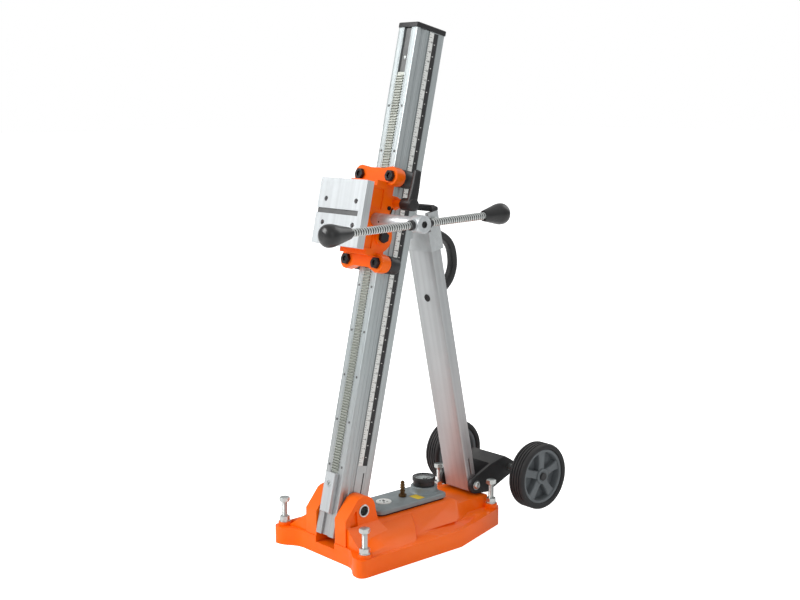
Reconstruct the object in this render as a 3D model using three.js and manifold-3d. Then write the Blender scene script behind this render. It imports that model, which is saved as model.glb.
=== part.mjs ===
// Core drill rig: a tilting rack column on a vacuum base, with a hand-cranked two-speed carriage.
//
// Millimetres. +Z is up, the tool side faces -Y, the crank is on +X and the wheels are at +Y.
// The origin is on the floor under the column's pivot. Pieces of the column and the carriage are
// placed in the column's own frame: x across, y = depth behind its front face, z along it.
import * as THREE from 'three';
import { ConvexGeometry } from 'three/addons/geometries/ConvexGeometry.js';
import { mergeVertices } from 'three/addons/utils/BufferGeometryUtils.js';
import Module from 'manifold-3d';

const wasm = await Module();
wasm.setup();

// ---- clearances -----------------------------------------------------------------------------
const GAP = 0.3; // between pieces that touch or turn in each other
const RUN_GAP = 0.4; // between a roller and the column
const SLOT_GAP = 0.3; // each side of a piece that fits a slot

// ---- base casting ---------------------------------------------------------------------------
const BASE_HALF_WIDTH = 149;
const BASE_FRONT = -78; // front corners
const BASE_FRONT_MIDDLE = -52; // the front edge curves in to here
const BASE_TAPER_START = 203;
const BASE_REAR = 381;
const BASE_REAR_HALF_WIDTH = BASE_HALF_WIDTH - 49;
const BASE_RIM_HEIGHT = 38;
const BASE_CORNER_RADIUS = 15;
const PLATFORM_HEIGHT = 70;
const PLATFORM_HALF_WIDTH = 56;
const DECK_HEIGHT = 60; // rear deck that carries the wheel frame
const CHANNEL_FLOOR = 25; // channel between the lugs
const LUG_THICKNESS = 35;
const LUG_RADIUS = 31;
const LUG_FRONT = -50;
const LUG_POCKET_DEPTH = 5;
const CHAMBER_DEPTH = 20; // vacuum chamber under the base
const CHAMBER_HALF_WIDTH = BASE_HALF_WIDTH - 41;
const CHAMBER_FRONT = 62;
const CHAMBER_REAR = 290;
const SEAL_WIDTH = 10;
const SEAL_DEPTH = 6;
const SEAL_OFFSET = 5; // wall between the chamber and the seal groove

// ---- levelling screws -----------------------------------------------------------------------
const FRONT_SCREW = { x: BASE_HALF_WIDTH - 15, y: BASE_FRONT + 22, boss: 45 };
const REAR_SCREW = { x: BASE_REAR_HALF_WIDTH - 15, y: BASE_REAR - 24, boss: 49 };
const SCREW_BOSS_RADIUS = 14;
const SCREW_RADIUS = 6;
const SCREW_HEX_RADIUS = 11.5;
const SCREW_HEAD_HEIGHT = 8;
const SCREW_STANDOUT = 54; // head top above the boss
const LOCK_NUT_HEIGHT = 12;

// ---- vacuum cover ---------------------------------------------------------------------------
const COVER_HALF_WIDTH = 45;
const COVER_FRONT = 62;
const COVER_LENGTH = 200;
const COVER_THICKNESS = 10;
const COVER_CORNER = 14;
const GASKET_THICKNESS = 3.4;
const GASKET_INSET = 3;
const GASKET_WIDTH = 12;
const VALVE_Y = COVER_FRONT + 0.245 * COVER_LENGTH;
const VALVE_RADIUS = 15.5;
const VALVE_SEAT_DEPTH = 3;
const NIPPLE_Y = COVER_FRONT + 0.52 * COVER_LENGTH;
const NIPPLE_BORE = 2.5;
const NIPPLE_HEIGHT = 36;
const GAUGE_MOUND_RADIUS = 30;
const GAUGE_Y = COVER_FRONT + COVER_LENGTH - GAUGE_MOUND_RADIUS - 2;
const GAUGE_MOUND_HEIGHT = 6;
const GAUGE_RADIUS = 23;
const GAUGE_HEIGHT = 23;
const GAUGE_WALL = 2.5;
const GAUGE_DIAL_DEPTH = 8;
const LENS_THICKNESS = 2.5;

// ---- column ---------------------------------------------------------------------------------
const TILT = THREE.MathUtils.degToRad(12.68);
const PIVOT_HEIGHT = 105;
const PIVOT_ALONG = 67; // pivot's distance along the column
const PIVOT_TUBE_RADIUS = 13.5;
const PIVOT_TUBE_BORE = 10;
const COLUMN_WIDTH = 57;
const COLUMN_DEPTH = 80;
const PIVOT_DEPTH = COLUMN_DEPTH / 2;
const COLUMN_LENGTH = 1072;
const COLUMN_SIDE_PLAY = 2.5;
const RACK_GROOVE_WIDTH = 22;
const RACK_GROOVE_DEPTH = 5;
const SIDE_GROOVE_DEPTH = 3;
const T_SLOT = { mouth: 12, width: 22, lip: 6, height: 14 };
const CAP_THICKNESS = 12;
const CAP_OVERHANG = 2;
const TAPE_THICKNESS = 0.6;
const TAPE_START = 154;
const STOP_WIDTH = 30;
const STOP_HEIGHT = 11;
const STOP_START = 46;

// ---- gears and rack -------------------------------------------------------------------------
const PRESSURE_ANGLE = THREE.MathUtils.degToRad(20);
const RACK_MODULE = 1.8;
const PINION_TEETH = 20;
const GEAR_MODULE = 1.5;
const SPINDLE_TEETH = 16;
const REDUCTION_TEETH = 36;
const BACKLASH = 0.3; // taken off each tooth
const ADDENDUM = 0.9; // shares of the module
const DEDENDUM = 1.25;
const RACK_START = 133;
const RACK_END = COLUMN_LENGTH - 94;
const PINION_WIDTH = 20;
const GEAR_WIDTH = 5;

// ---- carriage -------------------------------------------------------------------------------
const CARRIAGE_ALONG = 667; // middle of the carriage at rest
const SHAFT_ALONG = CARRIAGE_ALONG - 36;
const SHAFT_DEPTH = -19;
const SPINDLE_ALONG = CARRIAGE_ALONG - 3;
const GUIDE_HALF_SPACING = COLUMN_WIDTH / 2 + 19;
const GUIDE_HALF_HEIGHT = 90;
const BOSS_RADIUS = 20;
const BAR_FRONT = -22;
const RACK_CLEARANCE = 0.6; // between the rack's tips and the carriage
const BOSS_BACK = 3;
const BLOCK_HALF_WIDTH = COLUMN_WIDTH / 2 + 13.5;
const BLOCK_HALF_HEIGHT = 77;
const BLOCK_STEP = -50; // lower in front of this depth, so the tool plate covers it
const BLOCK_FRONT_HALF_HEIGHT = 66;
const BLOCK_END_WALL = 9;
const BLOCK_WALL = 5.5;
const HOUSING_SIDE_GAP = 1; // between the housings and the column's side
const GEAR_HOUSING_WALL = 3;
const GEAR_ROOM = 1.5;
const CLAMP_ALONG = CARRIAGE_ALONG + 38;
const CLAMP_DEPTH = 8;
const CLAMP_HOUSING_RADIUS = 14;
const CLAMP_BOSS_RADIUS = 10;
const CLAMP_BOSS_END = BLOCK_HALF_WIDTH + 24;
const PLATE_WIDTH = 147;
const PLATE_HEIGHT = 137;
const PLATE_THICKNESS = 18;
const PLATE_FRONT = -102.6;
const KEYWAY_HEIGHT = 10.5;
const KEYWAY_DEPTH = 5;
const KEYWAY_END = 59;
const PLATE_HOLE_RADIUS = 4.3;
const PLATE_HOLE_SPACING = { x: 96, z: 49 };
const GUIDE_BOLT_RADIUS = 6;
const GUIDE_BOLT_HEX = 11;
const GUIDE_BOLT_HEAD = 7.5;
const ROLLER_LENGTH = 30;

// ---- crank ----------------------------------------------------------------------------------
const SPINDLE_RADIUS = 8;
const SLEEVE_RADIUS = 13.5;
const SLEEVE_LENGTH = 120;
const HUB_RADIUS = 18;
const HUB_END = BLOCK_HALF_WIDTH + 149;
const HUB_LENGTH = 28;
const ROD_RADIUS = 8;
const ROD_ALONG_HUB = 15; // rod axis behind the hub's end face
const HANDLE_SPAN = 488; // over both knobs
const HANDLE_RISE = THREE.MathUtils.degToRad(1.7);
const KNOB_LENGTH = 67.5;
const KNOB_RADIUS = 22.6;
const KNOB_NECK = 11;
const KNOB_GRIP_DEPTH = 36;
const HUB_SCREW_RADIUS = 4.5;
const LEVER_LENGTH = 74;
const LEVER_HUB_RADIUS = 13;
const LEVER_HUB_LENGTH = 34;
const LEVER_SCREW_RADIUS = 5;

// ---- strut ----------------------------------------------------------------------------------
const STRUT_FOOT = { y: 345, z: 84 };
const STRUT_PIVOT_LENGTH = 620;
const STRUT_EYE_BEHIND = 42.31; // head pivot behind the column's back face
const STRUT_TUBE_END = STRUT_PIVOT_LENGTH - 24;
const STRUT_WIDTH = 76;
const STRUT_DEPTH = 28;
const STRUT_WALL = 3;
const STRUT_BELOW_PIVOT = 12;
const HEAD_WALL = 3.2;
const HEAD_START = STRUT_PIVOT_LENGTH - 64;
const HEAD_COLLAR_END = STRUT_PIVOT_LENGTH - 20;
const HEAD_TOP = STRUT_PIVOT_LENGTH + 20;
const HEAD_CHEEK = 10;
const HEAD_NOSE = 11; // cheeks in front of the pivot
const STRUT_CAP_HEIGHT = 12;
const STRUT_CAP_FRONT = 2;
const PIN_RADIUS = 6;
const PIN_HEX = 10;
const PIN_HEAD = 6;
const GRIP_END = STRUT_PIVOT_LENGTH - 26;
const GRIP = { start: GRIP_END - 154, end: GRIP_END, reach: 86, thickness: 15, halfWidth: 13 };
const BRACKET_PLATE = { thickness: 6, halfWidth: 26, below: 45, above: 24 };
const BRACKET_CHEEK_GAP = 2;
const BRACKET_EYE = 10;
const TUBE_HOLE_ALONG = STRUT_PIVOT_LENGTH - 173;

// ---- wheels ---------------------------------------------------------------------------------
const WHEEL_RADIUS = 75;
const WHEEL_WIDTH = 42;
const WHEEL_OUTER_X = 157.7;
const RIM_RADIUS = WHEEL_RADIUS - 13;
const RIM_RING = 7;
const RIM_RECESS = 6;
const RIM_HUB_RADIUS = 16;
const RIM_WEB = { back: -2, front: 1.5 }; // disc behind the spokes
const SPOKES = 5;
const SPOKE_WIDTH = 20;
const SPOKE_THICKNESS = 12;
const AXLE = { y: 454, z: 105.7, radius: 8 };
const FRAME_INNER = STRUT_WIDTH / 2 + 4;
const FRAME_PLATE = 8;
const FRAME_SHEET = 4;

// ---- materials ------------------------------------------------------------------------------
const finish = (color, roughness, metalness) =>
  new THREE.MeshStandardMaterial({ color, roughness, metalness });
const ORANGE = finish(0xff6a13, 0.35, 0.0);
const ALUMINIUM = finish(0xd5d8da, 0.4, 0.9);
const POLISHED = finish(0xe2e4e6, 0.18, 1.0);
const ZINC = finish(0xc3c8cc, 0.3, 0.95);
const STEEL = finish(0x8c9092, 0.35, 1.0);
const BLACK_STEEL = finish(0x18181a, 0.45, 0.4);
const BLACK_PLASTIC = finish(0x151517, 0.4, 0.0);
const RUBBER = finish(0x242526, 0.8, 0.0);
const GREY_PLASTIC = finish(0x6f7478, 0.55, 0.0);
const GREY_PAINT = finish(0x7d8a8e, 0.45, 0.1);
const BRASS = finish(0x8c7046, 0.35, 0.9);
const WHITE_PLASTIC = finish(0xe8e8e4, 0.45, 0.0);
const GLASS = finish(0xdde6e6, 0.08, 0.0);

// ---- solids ---------------------------------------------------------------------------------
/** A closed three.js geometry as a manifold solid. */
function solid(geometry) {
  const bare = geometry.clone();
  bare.deleteAttribute('normal');
  bare.deleteAttribute('uv');
  const merged = mergeVertices(bare, 1e-4);
  const vertProperties = new Float32Array(merged.attributes.position.array);
  const triVerts = new Uint32Array(merged.index.array);
  return new wasm.Manifold(new wasm.Mesh({ numProp: 3, vertProperties, triVerts }));
}

/** The first solid with all the others joined on. */
function join(first, ...others) {
  return others.reduce((sum, next) => sum.add(next), first);
}

/** The first solid with all the others cut away. */
function cut(first, ...others) {
  return others.reduce((rest, next) => rest.subtract(next), first);
}

/** A solid as geometry with flat faces. */
function geometryOf(body) {
  const mesh = body.getMesh();
  const geometry = new THREE.BufferGeometry();
  geometry.setAttribute('position', new THREE.BufferAttribute(new Float32Array(mesh.vertProperties), 3));
  geometry.setIndex(new THREE.BufferAttribute(new Uint32Array(mesh.triVerts), 1));
  const flat = geometry.toNonIndexed();
  flat.computeVertexNormals();
  return flat;
}

/** A box between two limits on each axis. */
function box(x0, x1, y0, y1, z0, z1) {
  const geometry = new THREE.BoxGeometry(x1 - x0, y1 - y0, z1 - z0);
  geometry.translate((x0 + x1) / 2, (y0 + y1) / 2, (z0 + z1) / 2);
  return solid(geometry);
}

/** A cylinder or a cone along Z from z0 to z1 around (x, y). */
function rodZ(x, y, z0, z1, radius, sides = 24, topRadius = radius) {
  const geometry = new THREE.CylinderGeometry(topRadius, radius, z1 - z0, sides);
  geometry.rotateX(Math.PI / 2);
  geometry.translate(x, y, (z0 + z1) / 2);
  return solid(geometry);
}

/** A cylinder along X from x0 to x1 around (y, z). */
function rodX(x0, x1, y, z, radius, sides = 24) {
  const geometry = new THREE.CylinderGeometry(radius, radius, x1 - x0, sides);
  geometry.rotateZ(-Math.PI / 2);
  geometry.translate((x0 + x1) / 2, y, z);
  return solid(geometry);
}

/** A cylinder along Y from y0 to y1 around (x, z). */
function rodY(x, y0, y1, z, radius, sides = 24) {
  const geometry = new THREE.CylinderGeometry(radius, radius, y1 - y0, sides);
  geometry.translate(x, (y0 + y1) / 2, z);
  return solid(geometry);
}

/** A shape, or an outline's points, extruded up from z0 to z1. */
function prismZ(outline, z0, z1, curveSegments = 6) {
  const shape = outline instanceof THREE.Shape ? outline : shapeOf(outline);
  const geometry = new THREE.ExtrudeGeometry(shape, { depth: z1 - z0, bevelEnabled: false, curveSegments });
  geometry.translate(0, 0, z0);
  return solid(geometry);
}

/** An outline in (y, z) extruded along X from x0 to x1. */
function prismX(outline, x0, x1) {
  const geometry = new THREE.ExtrudeGeometry(shapeOf(outline), { depth: x1 - x0, bevelEnabled: false });
  geometry.applyMatrix4(new THREE.Matrix4().set(0, 0, 1, x0, 1, 0, 0, 0, 0, 1, 0, 0, 0, 0, 0, 1));
  return solid(geometry);
}

/** An outline in (x, z) extruded along Y from y0 to y1. */
function prismY(outline, y0, y1) {
  const geometry = new THREE.ExtrudeGeometry(shapeOf(outline), { depth: y1 - y0, bevelEnabled: false });
  geometry.applyMatrix4(new THREE.Matrix4().set(1, 0, 0, 0, 0, 0, -1, y1, 0, 1, 0, 0, 0, 0, 0, 1));
  return solid(geometry);
}

/** A closed shape through the given points. */
function shapeOf(points) {
  return new THREE.Shape(points.map(([u, v]) => new THREE.Vector2(u, v)));
}

/** The smallest convex solid around the points. */
function hull(points) {
  return solid(new ConvexGeometry(points.map(([x, y, z]) => new THREE.Vector3(x, y, z))));
}

/** Points on a circle's arc, from one angle to another in degrees. */
function arc(cu, cv, radius, from, to, steps) {
  return Array.from({ length: steps + 1 }, (_, i) => {
    const angle = THREE.MathUtils.degToRad(from + ((to - from) * i) / steps);
    return [cu + radius * Math.cos(angle), cv + radius * Math.sin(angle)];
  });
}

/** A rectangle with round corners, as points. */
function roundedRectangle(u0, u1, v0, v1, radius, steps = 3) {
  return [
    ...arc(u1 - radius, v0 + radius, radius, -90, 0, steps),
    ...arc(u1 - radius, v1 - radius, radius, 0, 90, steps),
    ...arc(u0 + radius, v1 - radius, radius, 90, 180, steps),
    ...arc(u0 + radius, v0 + radius, radius, 180, 270, steps),
  ];
}

/** A turned solid about Z: profile points are [radius, z]. */
function turned(profile, sides = 24) {
  const points = profile.map(([r, z]) => new THREE.Vector2(r, z));
  return solid(new THREE.LatheGeometry(points, sides).rotateX(Math.PI / 2));
}

/** A closed turned profile whose outline goes round a ring. */
function turnedRing(profile, sides = 24) {
  return turned([...profile, profile[0]], sides);
}

/** A six-sided head or nut along Z, by its corner radius. */
function hexZ(x, y, z0, z1, radius) {
  return rodZ(x, y, z0, z1, radius, 6);
}

// ---- scene graph ----------------------------------------------------------------------------
/** The strut leans until its head pivot meets the bracket's eye behind the tilted column. */
function strutLean() {
  const reach = STRUT_FOOT.y * Math.cos(TILT) - (STRUT_FOOT.z - PIVOT_HEIGHT) * Math.sin(TILT);
  const offset = COLUMN_DEPTH + STRUT_EYE_BEHIND - PIVOT_DEPTH;
  return Math.asin((reach - offset) / STRUT_PIVOT_LENGTH) - TILT;
}

const STRUT_LEAN = strutLean();
const rig = new THREE.Group();

const tilted = new THREE.Group();
tilted.position.set(0, 0, PIVOT_HEIGHT);
tilted.rotation.x = -TILT;
rig.add(tilted);

const column = new THREE.Group();
column.position.set(0, -PIVOT_DEPTH, -PIVOT_ALONG);
tilted.add(column);

const strut = new THREE.Group();
strut.position.set(0, STRUT_FOOT.y, STRUT_FOOT.z);
strut.rotation.x = STRUT_LEAN;
rig.add(strut);

/** Adds one named piece to a group. */
function addPiece(group, name, body, material) {
  const mesh = new THREE.Mesh(geometryOf(body), material);
  mesh.name = name;
  group.add(mesh);
  return mesh;
}

/** The spindle's place follows from the centre distance of its gear pair. */
const CENTRE_DISTANCE = (GEAR_MODULE * (SPINDLE_TEETH + REDUCTION_TEETH)) / 2;
const SPINDLE_DEPTH = SHAFT_DEPTH - Math.sqrt(CENTRE_DISTANCE ** 2 - (SPINDLE_ALONG - SHAFT_ALONG) ** 2);
const PITCH_LINE = SHAFT_DEPTH + (PINION_TEETH * RACK_MODULE) / 2;
const RACK_TIP = PITCH_LINE - ADDENDUM * RACK_MODULE;
const BAR_BACK = RACK_TIP - RACK_CLEARANCE;
const LUG_INNER = COLUMN_WIDTH / 2 + COLUMN_SIDE_PLAY;
const LUG_OUTER = LUG_INNER + LUG_THICKNESS;
const SIDES = [['left', -1], ['right', 1]];

// ---- base -----------------------------------------------------------------------------------
/** The casting's outline on the floor: flared front corners, a tapered rear. */
function baseOutline() {
  const shape = new THREE.Shape();
  const corner = BASE_HALF_WIDTH - BASE_CORNER_RADIUS;
  const flare = BASE_HALF_WIDTH / 2;
  shape.moveTo(-flare, BASE_FRONT_MIDDLE);
  shape.lineTo(flare, BASE_FRONT_MIDDLE);
  shape.bezierCurveTo(flare + 25, BASE_FRONT_MIDDLE, corner - 25, BASE_FRONT, corner, BASE_FRONT);
  shape.absarc(corner, BASE_FRONT + BASE_CORNER_RADIUS, BASE_CORNER_RADIUS, -Math.PI / 2, 0);
  shape.lineTo(BASE_HALF_WIDTH, BASE_TAPER_START);
  shape.lineTo(BASE_REAR_HALF_WIDTH, BASE_REAR - BASE_CORNER_RADIUS);
  shape.lineTo(BASE_REAR_HALF_WIDTH - BASE_CORNER_RADIUS, BASE_REAR);
  shape.lineTo(-BASE_REAR_HALF_WIDTH + BASE_CORNER_RADIUS, BASE_REAR);
  shape.lineTo(-BASE_REAR_HALF_WIDTH, BASE_REAR - BASE_CORNER_RADIUS);
  shape.lineTo(-BASE_HALF_WIDTH, BASE_TAPER_START);
  shape.lineTo(-BASE_HALF_WIDTH, BASE_FRONT + BASE_CORNER_RADIUS);
  shape.absarc(-corner, BASE_FRONT + BASE_CORNER_RADIUS, BASE_CORNER_RADIUS, Math.PI, 1.5 * Math.PI);
  shape.bezierCurveTo(-corner + 25, BASE_FRONT, -flare - 25, BASE_FRONT_MIDDLE, -flare, BASE_FRONT_MIDDLE);
  return shape;
}

/** The chamber's plan, grown outwards by an offset. */
function chamberPlan(offset) {
  const side = CHAMBER_HALF_WIDTH + offset;
  const rear = CHAMBER_REAR + offset;
  const shoulder = BASE_TAPER_START - 10;
  const taper = (BASE_HALF_WIDTH - BASE_REAR_HALF_WIDTH) / (BASE_REAR - shoulder);
  const rearSide = side - (rear - shoulder) * taper;
  return [
    [-side, CHAMBER_FRONT - offset],
    [side, CHAMBER_FRONT - offset],
    [side, shoulder],
    [rearSide, rear],
    [-rearSide, rear],
    [-side, shoulder],
  ];
}

/** One lug's outline in (y, z): an upright front, a round top and a steep back. */
function lugOutline() {
  return [
    [LUG_FRONT, BASE_RIM_HEIGHT / 2],
    [LUG_FRONT, PIVOT_HEIGHT - 13],
    ...arc(0, PIVOT_HEIGHT, LUG_RADIUS, 125, 0, 8),
    [LUG_RADIUS + 6, PIVOT_HEIGHT - 23],
    [LUG_RADIUS + 16, DECK_HEIGHT],
    [LUG_RADIUS + 16, BASE_RIM_HEIGHT / 2],
  ];
}

/** The pocket between a lug's front rib and its pivot boss. */
function lugPocketOutline() {
  return [
    [LUG_FRONT + 13, BASE_RIM_HEIGHT + 12],
    [LUG_FRONT + 33, BASE_RIM_HEIGHT + 26],
    [-18, PIVOT_HEIGHT - 12],
    [-20, PIVOT_HEIGHT + 5],
    [LUG_FRONT + 13, PIVOT_HEIGHT - 12],
  ];
}

function buildBaseCasting() {
  const low = BASE_RIM_HEIGHT / 2;
  let body = prismZ(baseOutline(), 0, BASE_RIM_HEIGHT, 5);
  const flank = PLATFORM_HALF_WIDTH * 2;
  const platform = [];
  for (const side of [-1, 1]) {
    for (const z of [low, BASE_RIM_HEIGHT]) {
      platform.push([side * flank, 40, z], [side * flank, BASE_TAPER_START + 20, z]);
    }
    platform.push([side * PLATFORM_HALF_WIDTH * 1.4, BASE_REAR - 60, low]);
    platform.push([side * PLATFORM_HALF_WIDTH, 48, PLATFORM_HEIGHT]);
    platform.push([side * PLATFORM_HALF_WIDTH, COVER_FRONT + COVER_LENGTH + 8, PLATFORM_HEIGHT]);
  }
  const deck = [];
  for (const side of [-1, 1]) {
    deck.push([side * 84, 262, low], [side * 78, BASE_REAR - 6, low]);
    deck.push([side * 64, 262, DECK_HEIGHT], [side * 60, BASE_REAR - 12, DECK_HEIGHT]);
  }
  body = join(body, hull(platform), hull(deck));
  for (const side of [-1, 1]) {
    const inner = side * LUG_INNER;
    const outer = side * LUG_OUTER;
    body = join(body, prismX(lugOutline(), Math.min(inner, outer), Math.max(inner, outer)));
    body = join(body, hull([
      [outer - side, LUG_FRONT + 4, low],
      [outer - side, LUG_FRONT + 4, PLATFORM_HEIGHT + 8],
      [outer - side, LUG_RADIUS + 6, low],
      [outer - side, LUG_RADIUS + 6, PLATFORM_HEIGHT + 8],
      [side * (FRONT_SCREW.x - 12), LUG_FRONT - 4, low],
      [side * (FRONT_SCREW.x - 12), LUG_FRONT - 4, BASE_RIM_HEIGHT + 1],
      [side * PLATFORM_HALF_WIDTH * 2, 58, low],
      [side * PLATFORM_HALF_WIDTH * 2, 58, BASE_RIM_HEIGHT + 1],
    ]));
    for (const screw of [FRONT_SCREW, REAR_SCREW]) {
      body = join(body, rodZ(side * screw.x, screw.y, 0.5, screw.boss, SCREW_BOSS_RADIUS, 20));
    }
  }
  const cuts = [
    box(-LUG_INNER, LUG_INNER, 2 * BASE_FRONT, PIVOT_DEPTH + 6, CHANNEL_FLOOR, 2 * PIVOT_HEIGHT),
    rodX(-BASE_HALF_WIDTH, BASE_HALF_WIDTH, 0, PIVOT_HEIGHT, PIVOT_TUBE_RADIUS + GAP),
    prismZ(chamberPlan(0), -1, CHAMBER_DEPTH),
    cut(
      prismZ(chamberPlan(SEAL_OFFSET + SEAL_WIDTH), -1, SEAL_DEPTH),
      prismZ(chamberPlan(SEAL_OFFSET), -2, SEAL_DEPTH + 1),
    ),
    rodZ(0, NIPPLE_Y, 1, PLATFORM_HEIGHT + 1, 2 * NIPPLE_BORE, 16),
  ];
  for (const side of [-1, 1]) {
    const outer = side * LUG_OUTER;
    const floor = side * (LUG_OUTER - LUG_POCKET_DEPTH);
    cuts.push(prismX(lugPocketOutline(), Math.min(floor, outer + side), Math.max(floor, outer + side)));
    for (const screw of [FRONT_SCREW, REAR_SCREW]) {
      cuts.push(rodZ(side * screw.x, screw.y, -1, screw.boss + 1, SCREW_RADIUS + GAP, 16));
    }
    cuts.push(hull([
      [side * (PLATFORM_HALF_WIDTH * 2 - 4), 110, BASE_RIM_HEIGHT + 3],
      [side * (BASE_HALF_WIDTH - 8), 150, BASE_RIM_HEIGHT + 3],
      [side * (BASE_HALF_WIDTH - 8), BASE_TAPER_START, BASE_RIM_HEIGHT + 3],
      [side * (BASE_REAR_HALF_WIDTH + 2), 310, BASE_RIM_HEIGHT + 3],
      [side * (BASE_REAR_HALF_WIDTH - 8), 300, BASE_RIM_HEIGHT + 3],
      [side * (BASE_HALF_WIDTH - 16), 155, BASE_RIM_HEIGHT - 7],
      [side * (BASE_HALF_WIDTH - 18), BASE_TAPER_START, BASE_RIM_HEIGHT - 7],
      [side * (BASE_REAR_HALF_WIDTH + 4), 285, BASE_RIM_HEIGHT - 7],
    ]));
  }
  return cut(body, ...cuts);
}

function buildBase() {
  addPiece(rig, 'base_casting', buildBaseCasting(), ORANGE);
  const seal = cut(
    prismZ(chamberPlan(SEAL_OFFSET + SEAL_WIDTH - GAP), GAP, SEAL_DEPTH - GAP),
    prismZ(chamberPlan(SEAL_OFFSET + GAP), 0, SEAL_DEPTH),
  );
  addPiece(rig, 'base_seal', seal, RUBBER);
  const tubeEnd = LUG_OUTER + 1.5;
  const tube = cut(
    rodX(-tubeEnd, tubeEnd, 0, PIVOT_HEIGHT, PIVOT_TUBE_RADIUS),
    rodX(-tubeEnd - 1, tubeEnd + 1, 0, PIVOT_HEIGHT, PIVOT_TUBE_BORE),
  );
  addPiece(rig, 'pivot_tube', tube, ZINC);
}

// ---- levelling screws -----------------------------------------------------------------------
function buildLevellingScrews() {
  for (const [end, place] of [['front', FRONT_SCREW], ['rear', REAR_SCREW]]) {
    const headTop = place.boss + SCREW_STANDOUT;
    const nutTop = place.boss + GAP + LOCK_NUT_HEIGHT;
    for (const [name, side] of SIDES) {
      const x = side * place.x;
      const screw = join(
        rodZ(x, place.y, 1, headTop - SCREW_HEAD_HEIGHT / 2, SCREW_RADIUS, 16),
        hexZ(x, place.y, headTop - SCREW_HEAD_HEIGHT, headTop, SCREW_HEX_RADIUS),
      );
      const nut = cut(
        hexZ(x, place.y, place.boss + GAP, nutTop, SCREW_HEX_RADIUS),
        rodZ(x, place.y, 0, nutTop + 1, SCREW_RADIUS + GAP, 16),
      );
      addPiece(rig, `levelling_screw_${end}_${name}`, screw, ZINC);
      addPiece(rig, `lock_nut_${end}_${name}`, nut, ZINC);
    }
  }
}

// ---- vacuum cover, gauge, nipple and valve --------------------------------------------------
function buildVacuumCover() {
  const gasketTop = PLATFORM_HEIGHT + GAP + GASKET_THICKNESS;
  const bottom = gasketTop + GAP;
  const top = bottom + COVER_THICKNESS;
  const rear = COVER_FRONT + COVER_LENGTH;
  const plan = (inset) => roundedRectangle(
    -COVER_HALF_WIDTH + inset, COVER_HALF_WIDTH - inset, COVER_FRONT + inset, rear - inset, COVER_CORNER,
  );
  const gasket = cut(
    prismZ(plan(GASKET_INSET), PLATFORM_HEIGHT + GAP, gasketTop),
    prismZ(plan(GASKET_INSET + GASKET_WIDTH), PLATFORM_HEIGHT, gasketTop + 1),
  );
  addPiece(rig, 'cover_gasket', gasket, RUBBER);

  const chamfer = 2.5;
  const rimPoints = (z, inset) => plan(inset).map(([x, y]) => [x, y, z]);
  const slab = hull([...rimPoints(bottom, 0), ...rimPoints(top - chamfer, 0), ...rimPoints(top, chamfer)]);
  const moundTop = top + GAUGE_MOUND_HEIGHT;
  const moundFoot = GAUGE_MOUND_RADIUS + 1.5;
  const cover = cut(
    join(slab, rodZ(0, GAUGE_Y, bottom + 1, moundTop, moundFoot, 32, GAUGE_MOUND_RADIUS - 3)),
    rodZ(0, NIPPLE_Y, bottom - 1, top + 1, 2 * NIPPLE_BORE, 16),
    rodZ(0, VALVE_Y, top - VALVE_SEAT_DEPTH, top + 1, VALVE_RADIUS + GAP, 24),
  );
  addPiece(rig, 'vacuum_cover', cover, GREY_PAINT);

  const seat = top - VALVE_SEAT_DEPTH + GAP;
  const valve = cut(
    rodZ(0, VALVE_Y, seat, seat + 5, VALVE_RADIUS, 24),
    rodZ(-7, VALVE_Y, seat + 2, seat + 6, 2.4, 8),
    rodZ(7, VALVE_Y, seat + 2, seat + 6, 2.4, 8),
  );
  addPiece(rig, 'vent_valve', valve, WHITE_PLASTIC);

  const foot = top + GAP;
  const tip = top + NIPPLE_HEIGHT;
  const stem = turned([
    [0, foot], [6.5, foot], [6.5, foot + 12], [4.5, foot + 13], [4.5, foot + 18],
    [5.8, foot + 19], [4.2, foot + 24], [5.6, foot + 25], [3.4, tip], [0, tip],
  ], 12);
  const nipple = cut(
    join(hexZ(0, NIPPLE_Y, foot, foot + 6, 9), stem.translate([0, NIPPLE_Y, 0])),
    rodZ(0, NIPPLE_Y, foot - 1, tip + 1, NIPPLE_BORE, 12),
  );
  addPiece(rig, 'hose_nipple', nipple, BRASS);

  const caseBottom = moundTop + GAP;
  const caseTop = caseBottom + GAUGE_HEIGHT;
  const dial = caseTop - GAUGE_DIAL_DEPTH;
  const bore = GAUGE_RADIUS - GAUGE_WALL;
  const neck = GAUGE_RADIUS - 2;
  const gaugeCase = turned([
    [0, caseBottom], [neck, caseBottom], [neck, caseTop - 9],
    [GAUGE_RADIUS, caseTop - 8], [GAUGE_RADIUS, caseTop - 1], [GAUGE_RADIUS - 1, caseTop],
    [bore, caseTop], [bore, dial], [1.6, dial], [1.6, dial - 4], [0, dial - 4],
  ], 24);
  addPiece(rig, 'gauge_case', gaugeCase.translate([0, GAUGE_Y, 0]), BLACK_PLASTIC);
  const lens = rodZ(0, GAUGE_Y, caseTop - LENS_THICKNESS, caseTop + 0.5, bore - GAP, 24);
  addPiece(rig, 'gauge_lens', lens, GLASS);
  const needle = join(
    rodZ(0, GAUGE_Y, dial - 3.5, dial + 3, 1.2, 8),
    rodZ(0, GAUGE_Y, dial + 1, dial + 3, 2.6, 12),
    box(-0.9, 0.9, GAUGE_Y - 5, GAUGE_Y + bore - 4, dial + 1.2, dial + 2.4),
  );
  addPiece(rig, 'gauge_needle', needle, BLACK_PLASTIC);
}

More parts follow.
